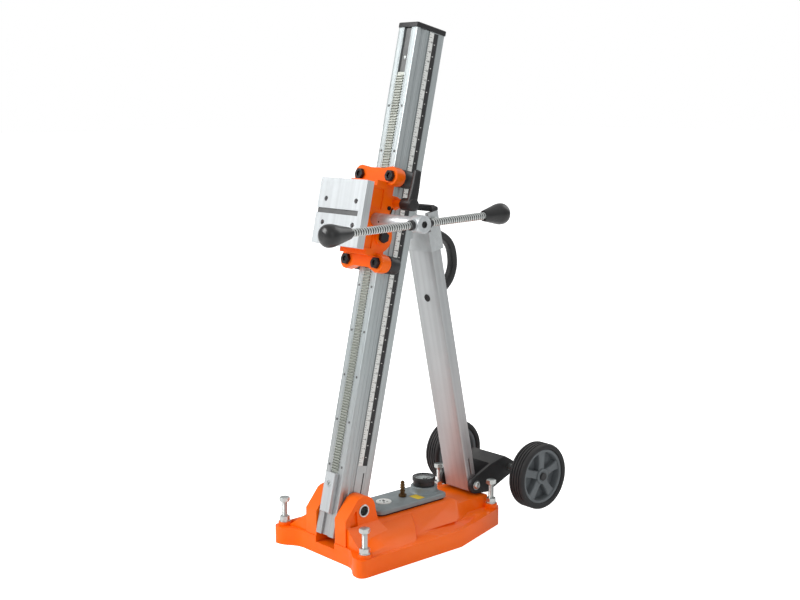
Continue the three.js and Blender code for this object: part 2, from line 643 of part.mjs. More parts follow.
// ---- column ---------------------------------------------------------------------------------
/** The extrusion's outline in (x, depth): rack groove in front, roller grooves, T-slot behind. */
function columnSection() {
  const w = COLUMN_WIDTH / 2;
  const d = COLUMN_DEPTH;
  const g = w - SIDE_GROOVE_DEPTH;
  const half = [
    [RACK_GROOVE_WIDTH / 2, RACK_GROOVE_DEPTH],
    [RACK_GROOVE_WIDTH / 2, 0],
    [w - 1.5, 0],
    [w, 1.5],
    [w, 10],
    [g, 12],
    [g, 23],
    [w, 25],
    [w, 33],
    [w - 1.5, 33.5],
    [w - 1.5, 35.5],
    [w, 36],
    [w, d - 3],
    [w - 3, d],
    [T_SLOT.mouth / 2, d],
    [T_SLOT.mouth / 2, d - T_SLOT.lip],
    [T_SLOT.width / 2, d - T_SLOT.lip],
    [T_SLOT.width / 2, d - T_SLOT.height],
  ];
  const shape = shapeOf([...half, ...half.map(([x, y]) => [-x, y]).reverse()]);
  const wall = 5;
  const frontRoom = shapeOf(roundedRectangle(-g + wall, g - wall, RACK_GROOVE_DEPTH + 4, 30, 2, 1));
  const rearRoom = shapeOf(roundedRectangle(-w + wall, w - wall, 34, d - T_SLOT.height - 4, 2, 1));
  shape.holes.push(frontRoom, rearRoom);
  return shape;
}

function buildColumn() {
  const w = COLUMN_WIDTH / 2;
  const profile = cut(
    prismZ(columnSection(), 0, COLUMN_LENGTH),
    rodX(-w - 1, w + 1, PIVOT_DEPTH, PIVOT_ALONG, PIVOT_TUBE_RADIUS + GAP),
    box(w - 8, w + 1, 54.5, 57.5, 94, 139),
  );
  addPiece(column, 'column_profile', profile, ALUMINIUM);

  const over = CAP_OVERHANG;
  const capPlan = roundedRectangle(-w - over, w + over, -over, COLUMN_DEPTH + over, 4, 2);
  const capBottom = COLUMN_LENGTH + GAP;
  const capTop = capBottom + CAP_THICKNESS;
  const capRing = (z, shrink) => capPlan.map(([x, y]) => [
    x * (1 - shrink), (y - COLUMN_DEPTH / 2) * (1 - shrink) + COLUMN_DEPTH / 2, z,
  ]);
  const cap = hull([...capRing(capBottom, 0), ...capRing(capTop - 4, 0), ...capRing(capTop, 0.07)]);
  addPiece(column, 'column_cap', cap, BLACK_PLASTIC);

  const tapeFront = 36.5;
  const tape = (from, to) => box(
    w + GAP, w + GAP + TAPE_THICKNESS, from, to, TAPE_START, COLUMN_LENGTH - 2,
  );
  addPiece(column, 'scale_tape', tape(tapeFront, tapeFront + 12), WHITE_PLASTIC);
  addPiece(column, 'mark_tape', tape(tapeFront + 12.8, tapeFront + 24), BLACK_PLASTIC);

  const stopEnd = RACK_START - GAP;
  const screwAlong = stopEnd - 24;
  const stop = cut(
    prismX([[-STOP_HEIGHT, STOP_START + 4], [-STOP_HEIGHT, stopEnd], [-GAP, stopEnd], [-GAP, STOP_START]],
      -STOP_WIDTH / 2, STOP_WIDTH / 2),
    rodY(0, -STOP_HEIGHT - 1, -STOP_HEIGHT + 5, screwAlong, 6.2, 16),
    rodY(0, -STOP_HEIGHT - 1, 1, screwAlong, 3 + GAP, 12),
  );
  addPiece(column, 'lower_stop', stop, ALUMINIUM);
  const stopScrew = join(
    rodY(0, -STOP_HEIGHT + 0.5, -STOP_HEIGHT + 5 - GAP, screwAlong, 5.8, 16),
    rodY(0, -STOP_HEIGHT + 1, RACK_GROOVE_DEPTH - 2 * GAP, screwAlong, 3, 12),
  );
  addPiece(column, 'stop_screw', stopScrew, ZINC);
}

// ---- gears and rack -------------------------------------------------------------------------
/** The involute function of an angle. */
const involute = (angle) => Math.tan(angle) - angle;

/** A spur gear's outline, with a tooth centred on the given angle. */
function gearOutline(teeth, module, toothAngle) {
  const pitchRadius = (teeth * module) / 2;
  const baseRadius = pitchRadius * Math.cos(PRESSURE_ANGLE);
  const tipRadius = pitchRadius + ADDENDUM * module;
  const rootRadius = pitchRadius - DEDENDUM * module;
  const halfAngle = (Math.PI / 2 - BACKLASH / module / 2) / teeth + involute(PRESSURE_ANGLE);
  const flank = (radius) => {
    const pressure = Math.acos(Math.min(1, baseRadius / radius));
    return halfAngle - involute(pressure);
  };
  const start = Math.max(baseRadius, rootRadius + 0.1);
  const radii = [start, tipRadius];
  const points = [];
  for (let tooth = 0; tooth < teeth; tooth += 1) {
    const centre = toothAngle + (2 * Math.PI * tooth) / teeth;
    const at = (radius, offset) => [radius * Math.cos(centre + offset), radius * Math.sin(centre + offset)];
    points.push(at(rootRadius, -flank(start)));
    radii.forEach((radius) => points.push(at(radius, -flank(radius))));
    radii.slice().reverse().forEach((radius) => points.push(at(radius, flank(radius))));
    points.push(at(rootRadius, flank(start)));
  }
  return points;
}

/** A gear along X around (y, z). */
function gear(teeth, module, toothAngle, x0, x1, y, z) {
  return prismX(gearOutline(teeth, module, toothAngle).map(([u, v]) => [u + y, v + z]), x0, x1);
}

function buildRack() {
  const pitch = Math.PI * RACK_MODULE;
  const tip = RACK_TIP;
  const root = PITCH_LINE + DEDENDUM * RACK_MODULE;
  const slope = Math.tan(PRESSURE_ANGLE);
  const halfTooth = pitch / 4 - BACKLASH / 4;
  const below = Math.floor((SHAFT_ALONG - RACK_START) / pitch - 0.5);
  const first = SHAFT_ALONG - below * pitch;
  const back = RACK_GROOVE_DEPTH - GAP;
  const outline = [[back, RACK_START], [root, RACK_START]];
  for (let centre = first; centre < RACK_END - pitch / 2; centre += pitch) {
    outline.push([root, centre - halfTooth - (root - PITCH_LINE) * slope]);
    outline.push([tip, centre - halfTooth + (PITCH_LINE - tip) * slope]);
    outline.push([tip, centre + halfTooth - (PITCH_LINE - tip) * slope]);
    outline.push([root, centre + halfTooth + (root - PITCH_LINE) * slope]);
  }
  outline.push([root, RACK_END], [back, RACK_END]);
  const halfWidth = RACK_GROOVE_WIDTH / 2 - SLOT_GAP;
  addPiece(column, 'toothed_rack', prismX(outline, -halfWidth, halfWidth), STEEL);
}

// ---- carriage -------------------------------------------------------------------------------
/** One guide bar's outline: two round ends and edges that curve in between them. */
function barOutline(centre, outward) {
  const x = GUIDE_HALF_SPACING;
  const r = BOSS_RADIUS;
  const right = arc(x, centre, r, -90, 90, 7);
  const left = arc(-x, centre, r, 90, 270, 7);
  const hollow = outward > 0 ? 4 : 9;
  const outerZ = centre + outward * (r - hollow);
  const innerZ = centre - outward * (r - 2);
  const upper = outward > 0 ? outerZ : innerZ;
  const lower = outward > 0 ? innerZ : outerZ;
  return [...right, [x - 24, upper], [-x + 24, upper], ...left, [-x + 24, lower], [x - 24, lower]];
}

function buildCarriageBody() {
  const top = CARRIAGE_ALONG + GUIDE_HALF_HEIGHT;
  const bottom = CARRIAGE_ALONG - GUIDE_HALF_HEIGHT;
  const plateBack = PLATE_FRONT + PLATE_THICKNESS;
  const blockTop = CARRIAGE_ALONG + BLOCK_HALF_HEIGHT;
  const blockBottom = CARRIAGE_ALONG - BLOCK_HALF_HEIGHT;
  const frontTop = CARRIAGE_ALONG + BLOCK_FRONT_HALF_HEIGHT;
  const frontBottom = CARRIAGE_ALONG - BLOCK_FRONT_HALF_HEIGHT;
  const w = BLOCK_HALF_WIDTH;
  const housingInner = COLUMN_WIDTH / 2 + HOUSING_SIDE_GAP;
  const gearRoom = (REDUCTION_TEETH * GEAR_MODULE) / 2 + GEAR_MODULE + GEAR_ROOM;
  const rearRadius = GUIDE_HALF_SPACING - COLUMN_WIDTH / 2 - HOUSING_SIDE_GAP;
  const clampBottom = CLAMP_ALONG - CLAMP_HOUSING_RADIUS;
  const clampTop = CLAMP_ALONG + CLAMP_HOUSING_RADIUS;
  let body = join(
    prismY(barOutline(top, 1), BAR_FRONT, BAR_BACK),
    prismY(barOutline(bottom, -1), BAR_FRONT, BAR_BACK),
    box(-w, w, plateBack + GAP, BLOCK_STEP + 1, frontBottom, frontTop),
    box(-w, w, BLOCK_STEP, BAR_BACK, blockBottom, blockTop),
    rodX(housingInner, w, SHAFT_DEPTH, SHAFT_ALONG, gearRoom + GEAR_HOUSING_WALL, 24),
    rodX(housingInner, w, CLAMP_DEPTH, CLAMP_ALONG, CLAMP_HOUSING_RADIUS, 20),
    box(housingInner, w, BAR_FRONT, CLAMP_DEPTH, clampBottom, clampTop),
    rodX(w - 1, CLAMP_BOSS_END, CLAMP_DEPTH, CLAMP_ALONG, CLAMP_BOSS_RADIUS, 20),
    rodX(w - 1, w + 8, SHAFT_DEPTH, SHAFT_ALONG, 16, 20),
  );
  for (const x of [-GUIDE_HALF_SPACING, GUIDE_HALF_SPACING]) {
    for (const z of [bottom, top]) {
      body = join(body, rodY(x, BAR_FRONT, BOSS_BACK, z, rearRadius, 16));
    }
  }
  const inner = w - BLOCK_WALL;
  const roomFront = plateBack + 8;
  const cuts = [
    box(-inner, inner, roomFront, BLOCK_STEP + BLOCK_END_WALL + 1, frontBottom + BLOCK_END_WALL,
      frontTop - BLOCK_END_WALL),
    box(-inner, inner, BLOCK_STEP + BLOCK_END_WALL, BAR_BACK + 1, blockBottom + BLOCK_END_WALL,
      blockTop - BLOCK_END_WALL),
    rodX(housingInner - 1, inner, SHAFT_DEPTH, SHAFT_ALONG, gearRoom, 24),
    rodX(-w - 1, w + 10, SHAFT_DEPTH, SHAFT_ALONG, SPINDLE_RADIUS + GAP, 16),
    rodX(-w - 1, w + 1, SPINDLE_DEPTH, SPINDLE_ALONG, SPINDLE_RADIUS + GAP, 16),
    rodX(housingInner - 1, CLAMP_BOSS_END + 1, CLAMP_DEPTH, CLAMP_ALONG, LEVER_SCREW_RADIUS + GAP, 16),
  ];
  for (const x of [-GUIDE_HALF_SPACING, GUIDE_HALF_SPACING]) {
    for (const z of [bottom, top]) {
      cuts.push(rodY(x, BAR_FRONT - 1, BOSS_BACK + 1, z, GUIDE_BOLT_RADIUS + GAP, 12));
    }
  }
  const pocket = 3;
  for (const side of [-1, 1]) {
    const x0 = side > 0 ? w - pocket : -w - 1;
    const x1 = side > 0 ? w + 1 : -w + pocket;
    cuts.push(box(x0, x1, plateBack + 12, BAR_FRONT - 6, SPINDLE_ALONG + 22, blockTop - 16));
    cuts.push(box(x0, x1, plateBack + 12, BAR_FRONT - 16, blockBottom + 14, SPINDLE_ALONG - 22));
  }
  return cut(body, ...cuts);
}

function buildCarriage() {
  addPiece(column, 'carriage_body', buildCarriageBody(), ORANGE);
  const plateBack = PLATE_FRONT + PLATE_THICKNESS;
  const half = PLATE_WIDTH / 2;
  const plateCuts = [
    box(-half - 1, KEYWAY_END, PLATE_FRONT - 1, PLATE_FRONT + KEYWAY_DEPTH,
      CARRIAGE_ALONG - KEYWAY_HEIGHT / 2, CARRIAGE_ALONG + KEYWAY_HEIGHT / 2),
  ];
  for (const sx of [-1, 1]) {
    for (const sz of [-1, 1]) {
      const x = (sx * PLATE_HOLE_SPACING.x) / 2;
      const z = CARRIAGE_ALONG + (sz * PLATE_HOLE_SPACING.z) / 2;
      plateCuts.push(rodY(x, PLATE_FRONT - 1, plateBack + 1, z, PLATE_HOLE_RADIUS, 16));
    }
  }
  const plateBottom = CARRIAGE_ALONG - PLATE_HEIGHT / 2;
  const slab = box(-half, half, PLATE_FRONT, plateBack, plateBottom, plateBottom + PLATE_HEIGHT);
  const plate = cut(slab, ...plateCuts);
  addPiece(column, 'tool_plate', plate, ALUMINIUM);

  const rollerRadius = GUIDE_HALF_SPACING - COLUMN_WIDTH / 2 - RUN_GAP;
  const rollerFront = BOSS_BACK + GAP;
  const rollerBack = rollerFront + ROLLER_LENGTH;
  const bore = GUIDE_BOLT_RADIUS + GAP;
  const roller = turnedRing([
    [bore, rollerFront], [rollerRadius - 4, rollerFront], [rollerRadius, rollerFront + 3],
    [rollerRadius, rollerBack - 5], [rollerRadius - 5, rollerBack], [bore, rollerBack],
  ], 20);
  const bolt = join(
    hexZ(0, 0, BAR_FRONT - GAP - GUIDE_BOLT_HEAD, BAR_FRONT - GAP, GUIDE_BOLT_HEX),
    rodZ(0, 0, BAR_FRONT - GUIDE_BOLT_HEAD, rollerBack + 2, GUIDE_BOLT_RADIUS, 12),
    rodZ(0, 0, rollerBack + GAP, rollerBack + 4, GUIDE_BOLT_RADIUS + 3, 12),
  );
  const kinds = [['guide_roller', roller, BLACK_PLASTIC], ['guide_bolt', bolt, BLACK_STEEL]];
  for (const [name, side] of SIDES) {
    for (const [level, offset] of [['lower', -GUIDE_HALF_HEIGHT], ['upper', GUIDE_HALF_HEIGHT]]) {
      for (const [kind, body, material] of kinds) {
        const mesh = addPiece(column, `${kind}_${level}_${name}`, body, material);
        mesh.rotation.x = -Math.PI / 2;
        mesh.position.set(side * GUIDE_HALF_SPACING, 0, CARRIAGE_ALONG + offset);
      }
    }
  }
}

function buildGearTrain() {
  const lineOfCentres = Math.atan2(SPINDLE_ALONG - SHAFT_ALONG, SPINDLE_DEPTH - SHAFT_DEPTH);
  const gearX0 = COLUMN_WIDTH / 2 + HOUSING_SIDE_GAP + 1.5;
  const gearX1 = gearX0 + GEAR_WIDTH;
  const w = BLOCK_HALF_WIDTH;
  const pinionHalf = PINION_WIDTH / 2;
  const pinionTooth = Math.PI / PINION_TEETH;
  const shaft = join(
    rodX(-w - 2, w + 16, SHAFT_DEPTH, SHAFT_ALONG, SPINDLE_RADIUS, 16),
    gear(PINION_TEETH, RACK_MODULE, pinionTooth, -pinionHalf, pinionHalf, SHAFT_DEPTH, SHAFT_ALONG),
    rodX(w + 8 + GAP, w + 16, SHAFT_DEPTH, SHAFT_ALONG, 12, 6),
  );
  addPiece(column, 'pinion_shaft', shaft, BLACK_STEEL);
  const wheel = cut(
    gear(REDUCTION_TEETH, GEAR_MODULE, lineOfCentres, gearX0, gearX1, SHAFT_DEPTH, SHAFT_ALONG),
    rodX(gearX0 - 1, gearX1 + 1, SHAFT_DEPTH, SHAFT_ALONG, SPINDLE_RADIUS + GAP, 16),
  );
  addPiece(column, 'reduction_gear', wheel, STEEL);
  const spindleTooth = lineOfCentres + Math.PI + Math.PI / SPINDLE_TEETH;
  const hubStart = HUB_END - HUB_LENGTH;
  const spindle = join(
    rodX(-w - 2, hubStart + 4, SPINDLE_DEPTH, SPINDLE_ALONG, SPINDLE_RADIUS, 16),
    gear(SPINDLE_TEETH, GEAR_MODULE, spindleTooth, gearX0, gearX1, SPINDLE_DEPTH, SPINDLE_ALONG),
  );
  addPiece(column, 'spindle', spindle, STEEL);
}

// ---- crank handle ---------------------------------------------------------------------------
function buildCrank() {
  const sleeveEnd = HUB_END - HUB_LENGTH - GAP;
  const sleeveStart = sleeveEnd - SLEEVE_LENGTH;
  const sleeve = cut(
    rodX(sleeveStart, sleeveEnd, SPINDLE_DEPTH, SPINDLE_ALONG, SLEEVE_RADIUS, 32),
    rodX(sleeveStart - 1, sleeveEnd + 1, SPINDLE_DEPTH, SPINDLE_ALONG, SPINDLE_RADIUS + GAP, 16),
  );
  addPiece(column, 'spindle_sleeve', sleeve, POLISHED);

  const crank = new THREE.Group();
  crank.position.set(0, SPINDLE_DEPTH, SPINDLE_ALONG);
  crank.rotation.x = TILT + HANDLE_RISE;
  column.add(crank);
  const rodX0 = HUB_END - ROD_ALONG_HUB;
  const hubStart = HUB_END - HUB_LENGTH;
  const screwStart = rodX0 + ROD_RADIUS + 2 * GAP;
  const hub = cut(
    rodX(hubStart, HUB_END, 0, 0, HUB_RADIUS, 32),
    rodX(hubStart - 1, hubStart + 4.5, 0, 0, SPINDLE_RADIUS + GAP, 16),
    rodY(rodX0, -HUB_RADIUS - 1, HUB_RADIUS + 1, 0, ROD_RADIUS + GAP, 20),
    rodX(rodX0, HUB_END + 1, 0, 0, HUB_SCREW_RADIUS + GAP, 16),
  );
  addPiece(crank, 'handle_hub', hub, POLISHED);
  addPiece(crank, 'hub_screw', rodX(screwStart, HUB_END - 0.8, 0, 0, HUB_SCREW_RADIUS, 16), BLACK_STEEL);
  const rodEnd = HANDLE_SPAN / 2 - KNOB_LENGTH + KNOB_GRIP_DEPTH;
  addPiece(crank, 'handle_rod', rodY(rodX0, -rodEnd, rodEnd, 0, ROD_RADIUS, 20), ZINC);

  const k = KNOB_LENGTH;
  const r = KNOB_RADIUS;
  const holeDepth = KNOB_GRIP_DEPTH + GAP;
  const knob = turnedRing([
    [ROD_RADIUS + GAP, 0], [KNOB_NECK, 0], [KNOB_NECK + 1, 2],
    [r * 0.62, k * 0.25], [r * 0.82, k * 0.48], [r * 0.96, k * 0.62], [r, k * 0.74],
    [r * 0.93, k * 0.86], [r * 0.72, k * 0.94], [r * 0.4, k * 0.985], [0, k],
    [0, holeDepth], [ROD_RADIUS + GAP, holeDepth],
  ], 18);
  for (const [name, turn] of [['front', Math.PI / 2], ['rear', -Math.PI / 2]]) {
    const mesh = addPiece(crank, `knob_${name}`, knob, BLACK_PLASTIC);
    mesh.rotation.x = turn;
    mesh.position.set(rodX0, -Math.sign(turn) * (HANDLE_SPAN / 2 - k), 0);
  }
}

// ---- clamp lever ----------------------------------------------------------------------------
function buildClampLever() {
  const hubStart = CLAMP_BOSS_END + GAP;
  const screwEnd = hubStart + LEVER_HUB_LENGTH * 0.6;
  const screwStart = COLUMN_WIDTH / 2 + GAP;
  const screw = rodX(screwStart, screwEnd, CLAMP_DEPTH, CLAMP_ALONG, LEVER_SCREW_RADIUS, 16);
  addPiece(column, 'clamp_screw', screw, STEEL);
  const tipRadius = 5.5;
  const tipAlong = CLAMP_ALONG + LEVER_LENGTH - tipRadius;
  const outline = [
    ...arc(CLAMP_DEPTH, CLAMP_ALONG, LEVER_HUB_RADIUS, 180, 360, 8),
    ...arc(CLAMP_DEPTH + 2, tipAlong, tipRadius, 0, 180, 6),
  ];
  const armStart = hubStart + LEVER_HUB_LENGTH * 0.4;
  const lever = cut(
    join(
      rodX(hubStart, hubStart + LEVER_HUB_LENGTH, CLAMP_DEPTH, CLAMP_ALONG, LEVER_HUB_RADIUS, 24),
      prismX(outline, armStart, hubStart + LEVER_HUB_LENGTH - 2),
    ),
    rodX(hubStart - 1, screwEnd + GAP, CLAMP_DEPTH, CLAMP_ALONG, LEVER_SCREW_RADIUS + GAP, 16),
  );
  addPiece(column, 'clamp_lever', lever, BLACK_PLASTIC);
}

// ---- strut ----------------------------------------------------------------------------------
function buildStrut() {
  const w = STRUT_WIDTH / 2;
  const d = STRUT_DEPTH / 2;
  const boreX = w - STRUT_WALL;
  const boreY = d - STRUT_WALL;
  const tube = cut(
    prismZ(roundedRectangle(-w, w, -d, d, 3, 2), -STRUT_BELOW_PIVOT, STRUT_TUBE_END),
    box(-boreX, boreX, -boreY, boreY, -STRUT_BELOW_PIVOT - 1, STRUT_TUBE_END + 1),
    rodX(-w - 1, w + 1, 0, 0, PIN_RADIUS + GAP, 16),
    rodY(0, -d - 1, 0, TUBE_HOLE_ALONG, 7, 16),
    box(boreX - 1, w + 1, -1.5, 1.5, 18, 64),
  );
  addPiece(strut, 'strut_tube', tube, ALUMINIUM);

  const hw = w + GAP + HEAD_WALL;
  const hd = d + GAP + HEAD_WALL;
  const cheekInner = hw - HEAD_CHEEK;
  const head = cut(
    box(-hw, hw, -hd, hd, HEAD_START, HEAD_TOP),
    box(-w - GAP, w + GAP, -d - GAP, d + GAP, HEAD_START - 1, HEAD_COLLAR_END - 2),
    box(-cheekInner, cheekInner, -hd - 1, hd + 1, HEAD_COLLAR_END, HEAD_TOP + 1),
    box(-hw - 1, hw + 1, -hd - 1, -HEAD_NOSE, HEAD_COLLAR_END, HEAD_TOP + 1),
    rodX(-hw - 1, hw + 1, 0, STRUT_PIVOT_LENGTH, PIN_RADIUS + GAP, 16),
  );
  addPiece(strut, 'strut_head', head, ALUMINIUM);
  const capBottom = HEAD_TOP + GAP;
  const capTop = capBottom + STRUT_CAP_HEIGHT;
  const capLayer = (z, inset) => [
    [-hw + inset, STRUT_CAP_FRONT + inset / 2, z], [hw - inset, STRUT_CAP_FRONT + inset / 2, z],
    [-hw + inset, hd + 2 - inset, z], [hw - inset, hd + 2 - inset, z],
  ];
  const cap = hull([...capLayer(capBottom, 0), ...capLayer(capTop - 6, 0), ...capLayer(capTop, 6)]);
  addPiece(strut, 'strut_cap', cap, BLACK_PLASTIC);
  for (const [name, side] of SIDES) {
    const ends = [side * (cheekInner + GAP), side * (hw + GAP + PIN_HEAD)].sort((a, b) => a - b);
    const headEnds = [side * (hw + GAP), side * (hw + GAP + PIN_HEAD)].sort((a, b) => a - b);
    const pin = join(
      rodX(ends[0], ends[1], 0, STRUT_PIVOT_LENGTH, PIN_RADIUS, 16),
      rodX(headEnds[0], headEnds[1], 0, STRUT_PIVOT_LENGTH, PIN_HEX, 6),
    );
    addPiece(strut, `head_pin_${name}`, pin, ZINC);
  }

  const back = d + GAP;
  const collarBack = hd + GAP;
  const { start, end, reach } = GRIP;
  const middle = (start + end) / 2;
  const bow = reach * 0.97;
  const grip = new THREE.Shape();
  grip.moveTo(back, start);
  grip.lineTo(back + 8, start);
  grip.bezierCurveTo(reach * 0.8, start + 12, reach * 1.06, middle - 30, bow, middle + 12);
  grip.quadraticCurveTo(reach * 0.9, end - 30, collarBack + 10, end);
  grip.lineTo(collarBack, end);
  grip.lineTo(collarBack, end - 24);
  grip.quadraticCurveTo(reach * 0.72, end - 44, bow - GRIP.thickness, middle + 8);
  grip.bezierCurveTo(reach * 0.9, middle - 22, reach * 0.62, start + 34, back, start + 26);
  const gripPoints = grip.extractPoints(5).shape.map((p) => [p.x, p.y]);
  addPiece(strut, 'carry_handle', prismX(gripPoints, -GRIP.halfWidth, GRIP.halfWidth), BLACK_PLASTIC);

  const footEnd = FRAME_INNER + FRAME_PLATE;
  const footBolt = join(
    rodX(-footEnd - PIN_HEAD, footEnd + GAP + PIN_HEAD, STRUT_FOOT.y, STRUT_FOOT.z, PIN_RADIUS, 16),
    rodX(footEnd + GAP, footEnd + GAP + PIN_HEAD, STRUT_FOOT.y, STRUT_FOOT.z, PIN_HEX, 6),
    rodX(-footEnd - GAP - PIN_HEAD, -footEnd - GAP, STRUT_FOOT.y, STRUT_FOOT.z, PIN_HEX, 6),
  );
  addPiece(rig, 'foot_bolt', footBolt, ZINC);
}

/** The strut's head pivot in the column's frame, as depth and distance along it. */
function headPivotOnColumn() {
  const y = STRUT_FOOT.y - STRUT_PIVOT_LENGTH * Math.sin(STRUT_LEAN);
  const z = STRUT_FOOT.z + STRUT_PIVOT_LENGTH * Math.cos(STRUT_LEAN) - PIVOT_HEIGHT;
  return {
    depth: PIVOT_DEPTH + y * Math.cos(TILT) - z * Math.sin(TILT),
    along: PIVOT_ALONG + y * Math.sin(TILT) + z * Math.cos(TILT),
  };
}

function buildTiltBracket() {
  const eye = headPivotOnColumn();
  const back = COLUMN_DEPTH + GAP;
  const plate = BRACKET_PLATE;
  const plateBack = back + plate.thickness;
  const from = eye.along - plate.below;
  const to = eye.along + plate.above;
  const mouth = T_SLOT.mouth / 2 - SLOT_GAP;
  const key = T_SLOT.width / 2 - SLOT_GAP;
  const keyBack = COLUMN_DEPTH - T_SLOT.lip - GAP;
  const keyFront = COLUMN_DEPTH - T_SLOT.height + GAP;
  const tongueHalf = STRUT_WIDTH / 2 + GAP + HEAD_WALL - HEAD_CHEEK - BRACKET_CHEEK_GAP;
  const tongue = [
    [plateBack - 1, eye.along - 26],
    ...arc(eye.depth, eye.along, BRACKET_EYE, -100, 90, 8),
    [plateBack - 1, eye.along + BRACKET_EYE - 2],
  ];
  const bracket = cut(
    join(
      box(-plate.halfWidth, plate.halfWidth, back, plateBack, from, to),
      prismX(tongue, -tongueHalf, tongueHalf),
      box(-mouth, mouth, keyFront + 1, back + 1, from, to),
      box(-key, key, keyFront, keyBack, from, to),
    ),
    rodX(-tongueHalf - 1, tongueHalf + 1, eye.depth, eye.along, PIN_RADIUS + GAP, 16),
  );
  addPiece(column, 'tilt_bracket', bracket, ALUMINIUM);
}

// ---- wheel frame and wheels -----------------------------------------------------------------
function buildWheelFrame() {
  const foot = STRUT_FOOT;
  const lobe = 19.5;
  const seat = DECK_HEIGHT + GAP;
  const plate = [
    ...arc(foot.y, foot.z, lobe, 100, 270, 8),
    [foot.y + 40, seat],
    ...arc(AXLE.y, AXLE.z, 17, -70, 60, 5),
    [AXLE.y - 16, AXLE.z + 29],
    [AXLE.y - 60, AXLE.z + 19],
  ];
  const outer = FRAME_INNER + FRAME_PLATE;
  const sheet = FRAME_SHEET;
  const sheetTop = (y, z) => [[-outer, y, z], [outer, y, z], [-outer, y, z - sheet], [outer, y, z - sheet]];
  const frame = cut(
    join(
      prismX(plate, FRAME_INNER, outer),
      prismX(plate, -outer, -FRAME_INNER),
      hull([...sheetTop(AXLE.y - 60, AXLE.z + 19), ...sheetTop(AXLE.y - 16, AXLE.z + 29)]),
      box(-outer, outer, foot.y - 24, foot.y + 40, seat, seat + sheet),
    ),
    rodX(-outer - 1, outer + 1, foot.y, foot.z, PIN_RADIUS + GAP, 16),
    rodX(-outer - 1, outer + 1, AXLE.y, AXLE.z, AXLE.radius + GAP, 20),
  );
  addPiece(rig, 'wheel_frame', frame, BLACK_STEEL);
  const axleEnd = WHEEL_OUTER_X - 2;
  addPiece(rig, 'wheel_axle', rodX(-axleEnd, axleEnd, AXLE.y, AXLE.z, AXLE.radius, 20), ZINC);
}

function buildWheels() {
  const halfWidth = WHEEL_WIDTH / 2;
  const centreX = WHEEL_OUTER_X - halfWidth;
  const r = WHEEL_RADIUS;
  const seat = RIM_RADIUS + GAP;
  const groove = 2.5;
  const tyre = turnedRing([
    [seat, -halfWidth + 3], [r - 5, -halfWidth], [r, -halfWidth + 6], [r, -4], [r - groove, -3],
    [r - groove, 3], [r, 4], [r, halfWidth - 6], [r - 5, halfWidth], [seat, halfWidth - 3],
  ], 36);
  const face = halfWidth - RIM_RECESS;
  const ringInner = RIM_RADIUS - RIM_RING;
  let rim = join(
    turnedRing([[ringInner, -face], [RIM_RADIUS, -face], [RIM_RADIUS, face], [ringInner, face]], 36),
    rodZ(0, 0, -halfWidth + 1, halfWidth - 3, RIM_HUB_RADIUS, 24),
    rodZ(0, 0, RIM_WEB.back, RIM_WEB.front, RIM_RADIUS - RIM_RING / 2, 36),
  );
  const armTop = face - 2;
  const armEnd = RIM_RADIUS - RIM_RING / 2;
  for (let spoke = 0; spoke < SPOKES; spoke += 1) {
    const arm = box(-SPOKE_WIDTH / 2, SPOKE_WIDTH / 2, 4, armEnd, armTop - SPOKE_THICKNESS, armTop);
    rim = join(rim, arm.rotate([0, 0, (360 * spoke) / SPOKES]));
  }
  rim = cut(rim, rodZ(0, 0, -halfWidth, halfWidth, AXLE.radius + GAP, 20));
  for (const [name, side] of SIDES) {
    for (const [piece, body, material] of [['tyre', tyre, RUBBER], ['rim', rim, GREY_PLASTIC]]) {
      const mesh = addPiece(rig, `${piece}_${name}`, body, material);
      mesh.rotation.y = (side * Math.PI) / 2;
      mesh.position.set(side * centreX, AXLE.y, AXLE.z);
    }
  }
}

buildBase();
buildLevellingScrews();
buildVacuumCover();
buildColumn();
buildRack();
buildCarriage();
buildGearTrain();
buildCrank();
buildClampLever();
buildStrut();
buildTiltBracket();
buildWheelFrame();
buildWheels();

export default rig;
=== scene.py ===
import logging
import math
from dataclasses import dataclass, replace
from enum import Enum

import bpy
import numpy as np
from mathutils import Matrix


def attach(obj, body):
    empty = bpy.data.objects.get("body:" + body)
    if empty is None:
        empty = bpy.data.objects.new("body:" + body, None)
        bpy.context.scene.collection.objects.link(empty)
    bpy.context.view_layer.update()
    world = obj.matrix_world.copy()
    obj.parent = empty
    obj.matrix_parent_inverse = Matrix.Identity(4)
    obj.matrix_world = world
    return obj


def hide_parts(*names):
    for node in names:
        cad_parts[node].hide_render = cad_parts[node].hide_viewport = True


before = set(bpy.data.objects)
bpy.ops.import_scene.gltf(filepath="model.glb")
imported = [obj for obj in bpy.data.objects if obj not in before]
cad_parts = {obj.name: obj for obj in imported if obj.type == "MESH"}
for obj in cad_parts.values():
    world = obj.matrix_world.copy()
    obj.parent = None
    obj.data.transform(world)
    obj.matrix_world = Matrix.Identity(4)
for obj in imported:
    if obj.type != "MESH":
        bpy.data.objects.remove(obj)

LOG = logging.getLogger("core_drill_rig")
MM = 0.001
TURN = 2.0 * math.pi
SIXTH = math.pi / 3
# Angles are in degrees, the pole's radius in millimetres and the weld's reach in metres.
POLE = 0.02
CREASE = 35.0
SOLID_CREASE = 40.0
ROUNDED_FROM = 30.0
FLAT_WITHIN = 0.6
WELD_REACH = 2e-6
HEX_STEPS = 72
Array = np.ndarray
Colour = tuple[float, float, float, float]
Point = tuple[float, float, float]


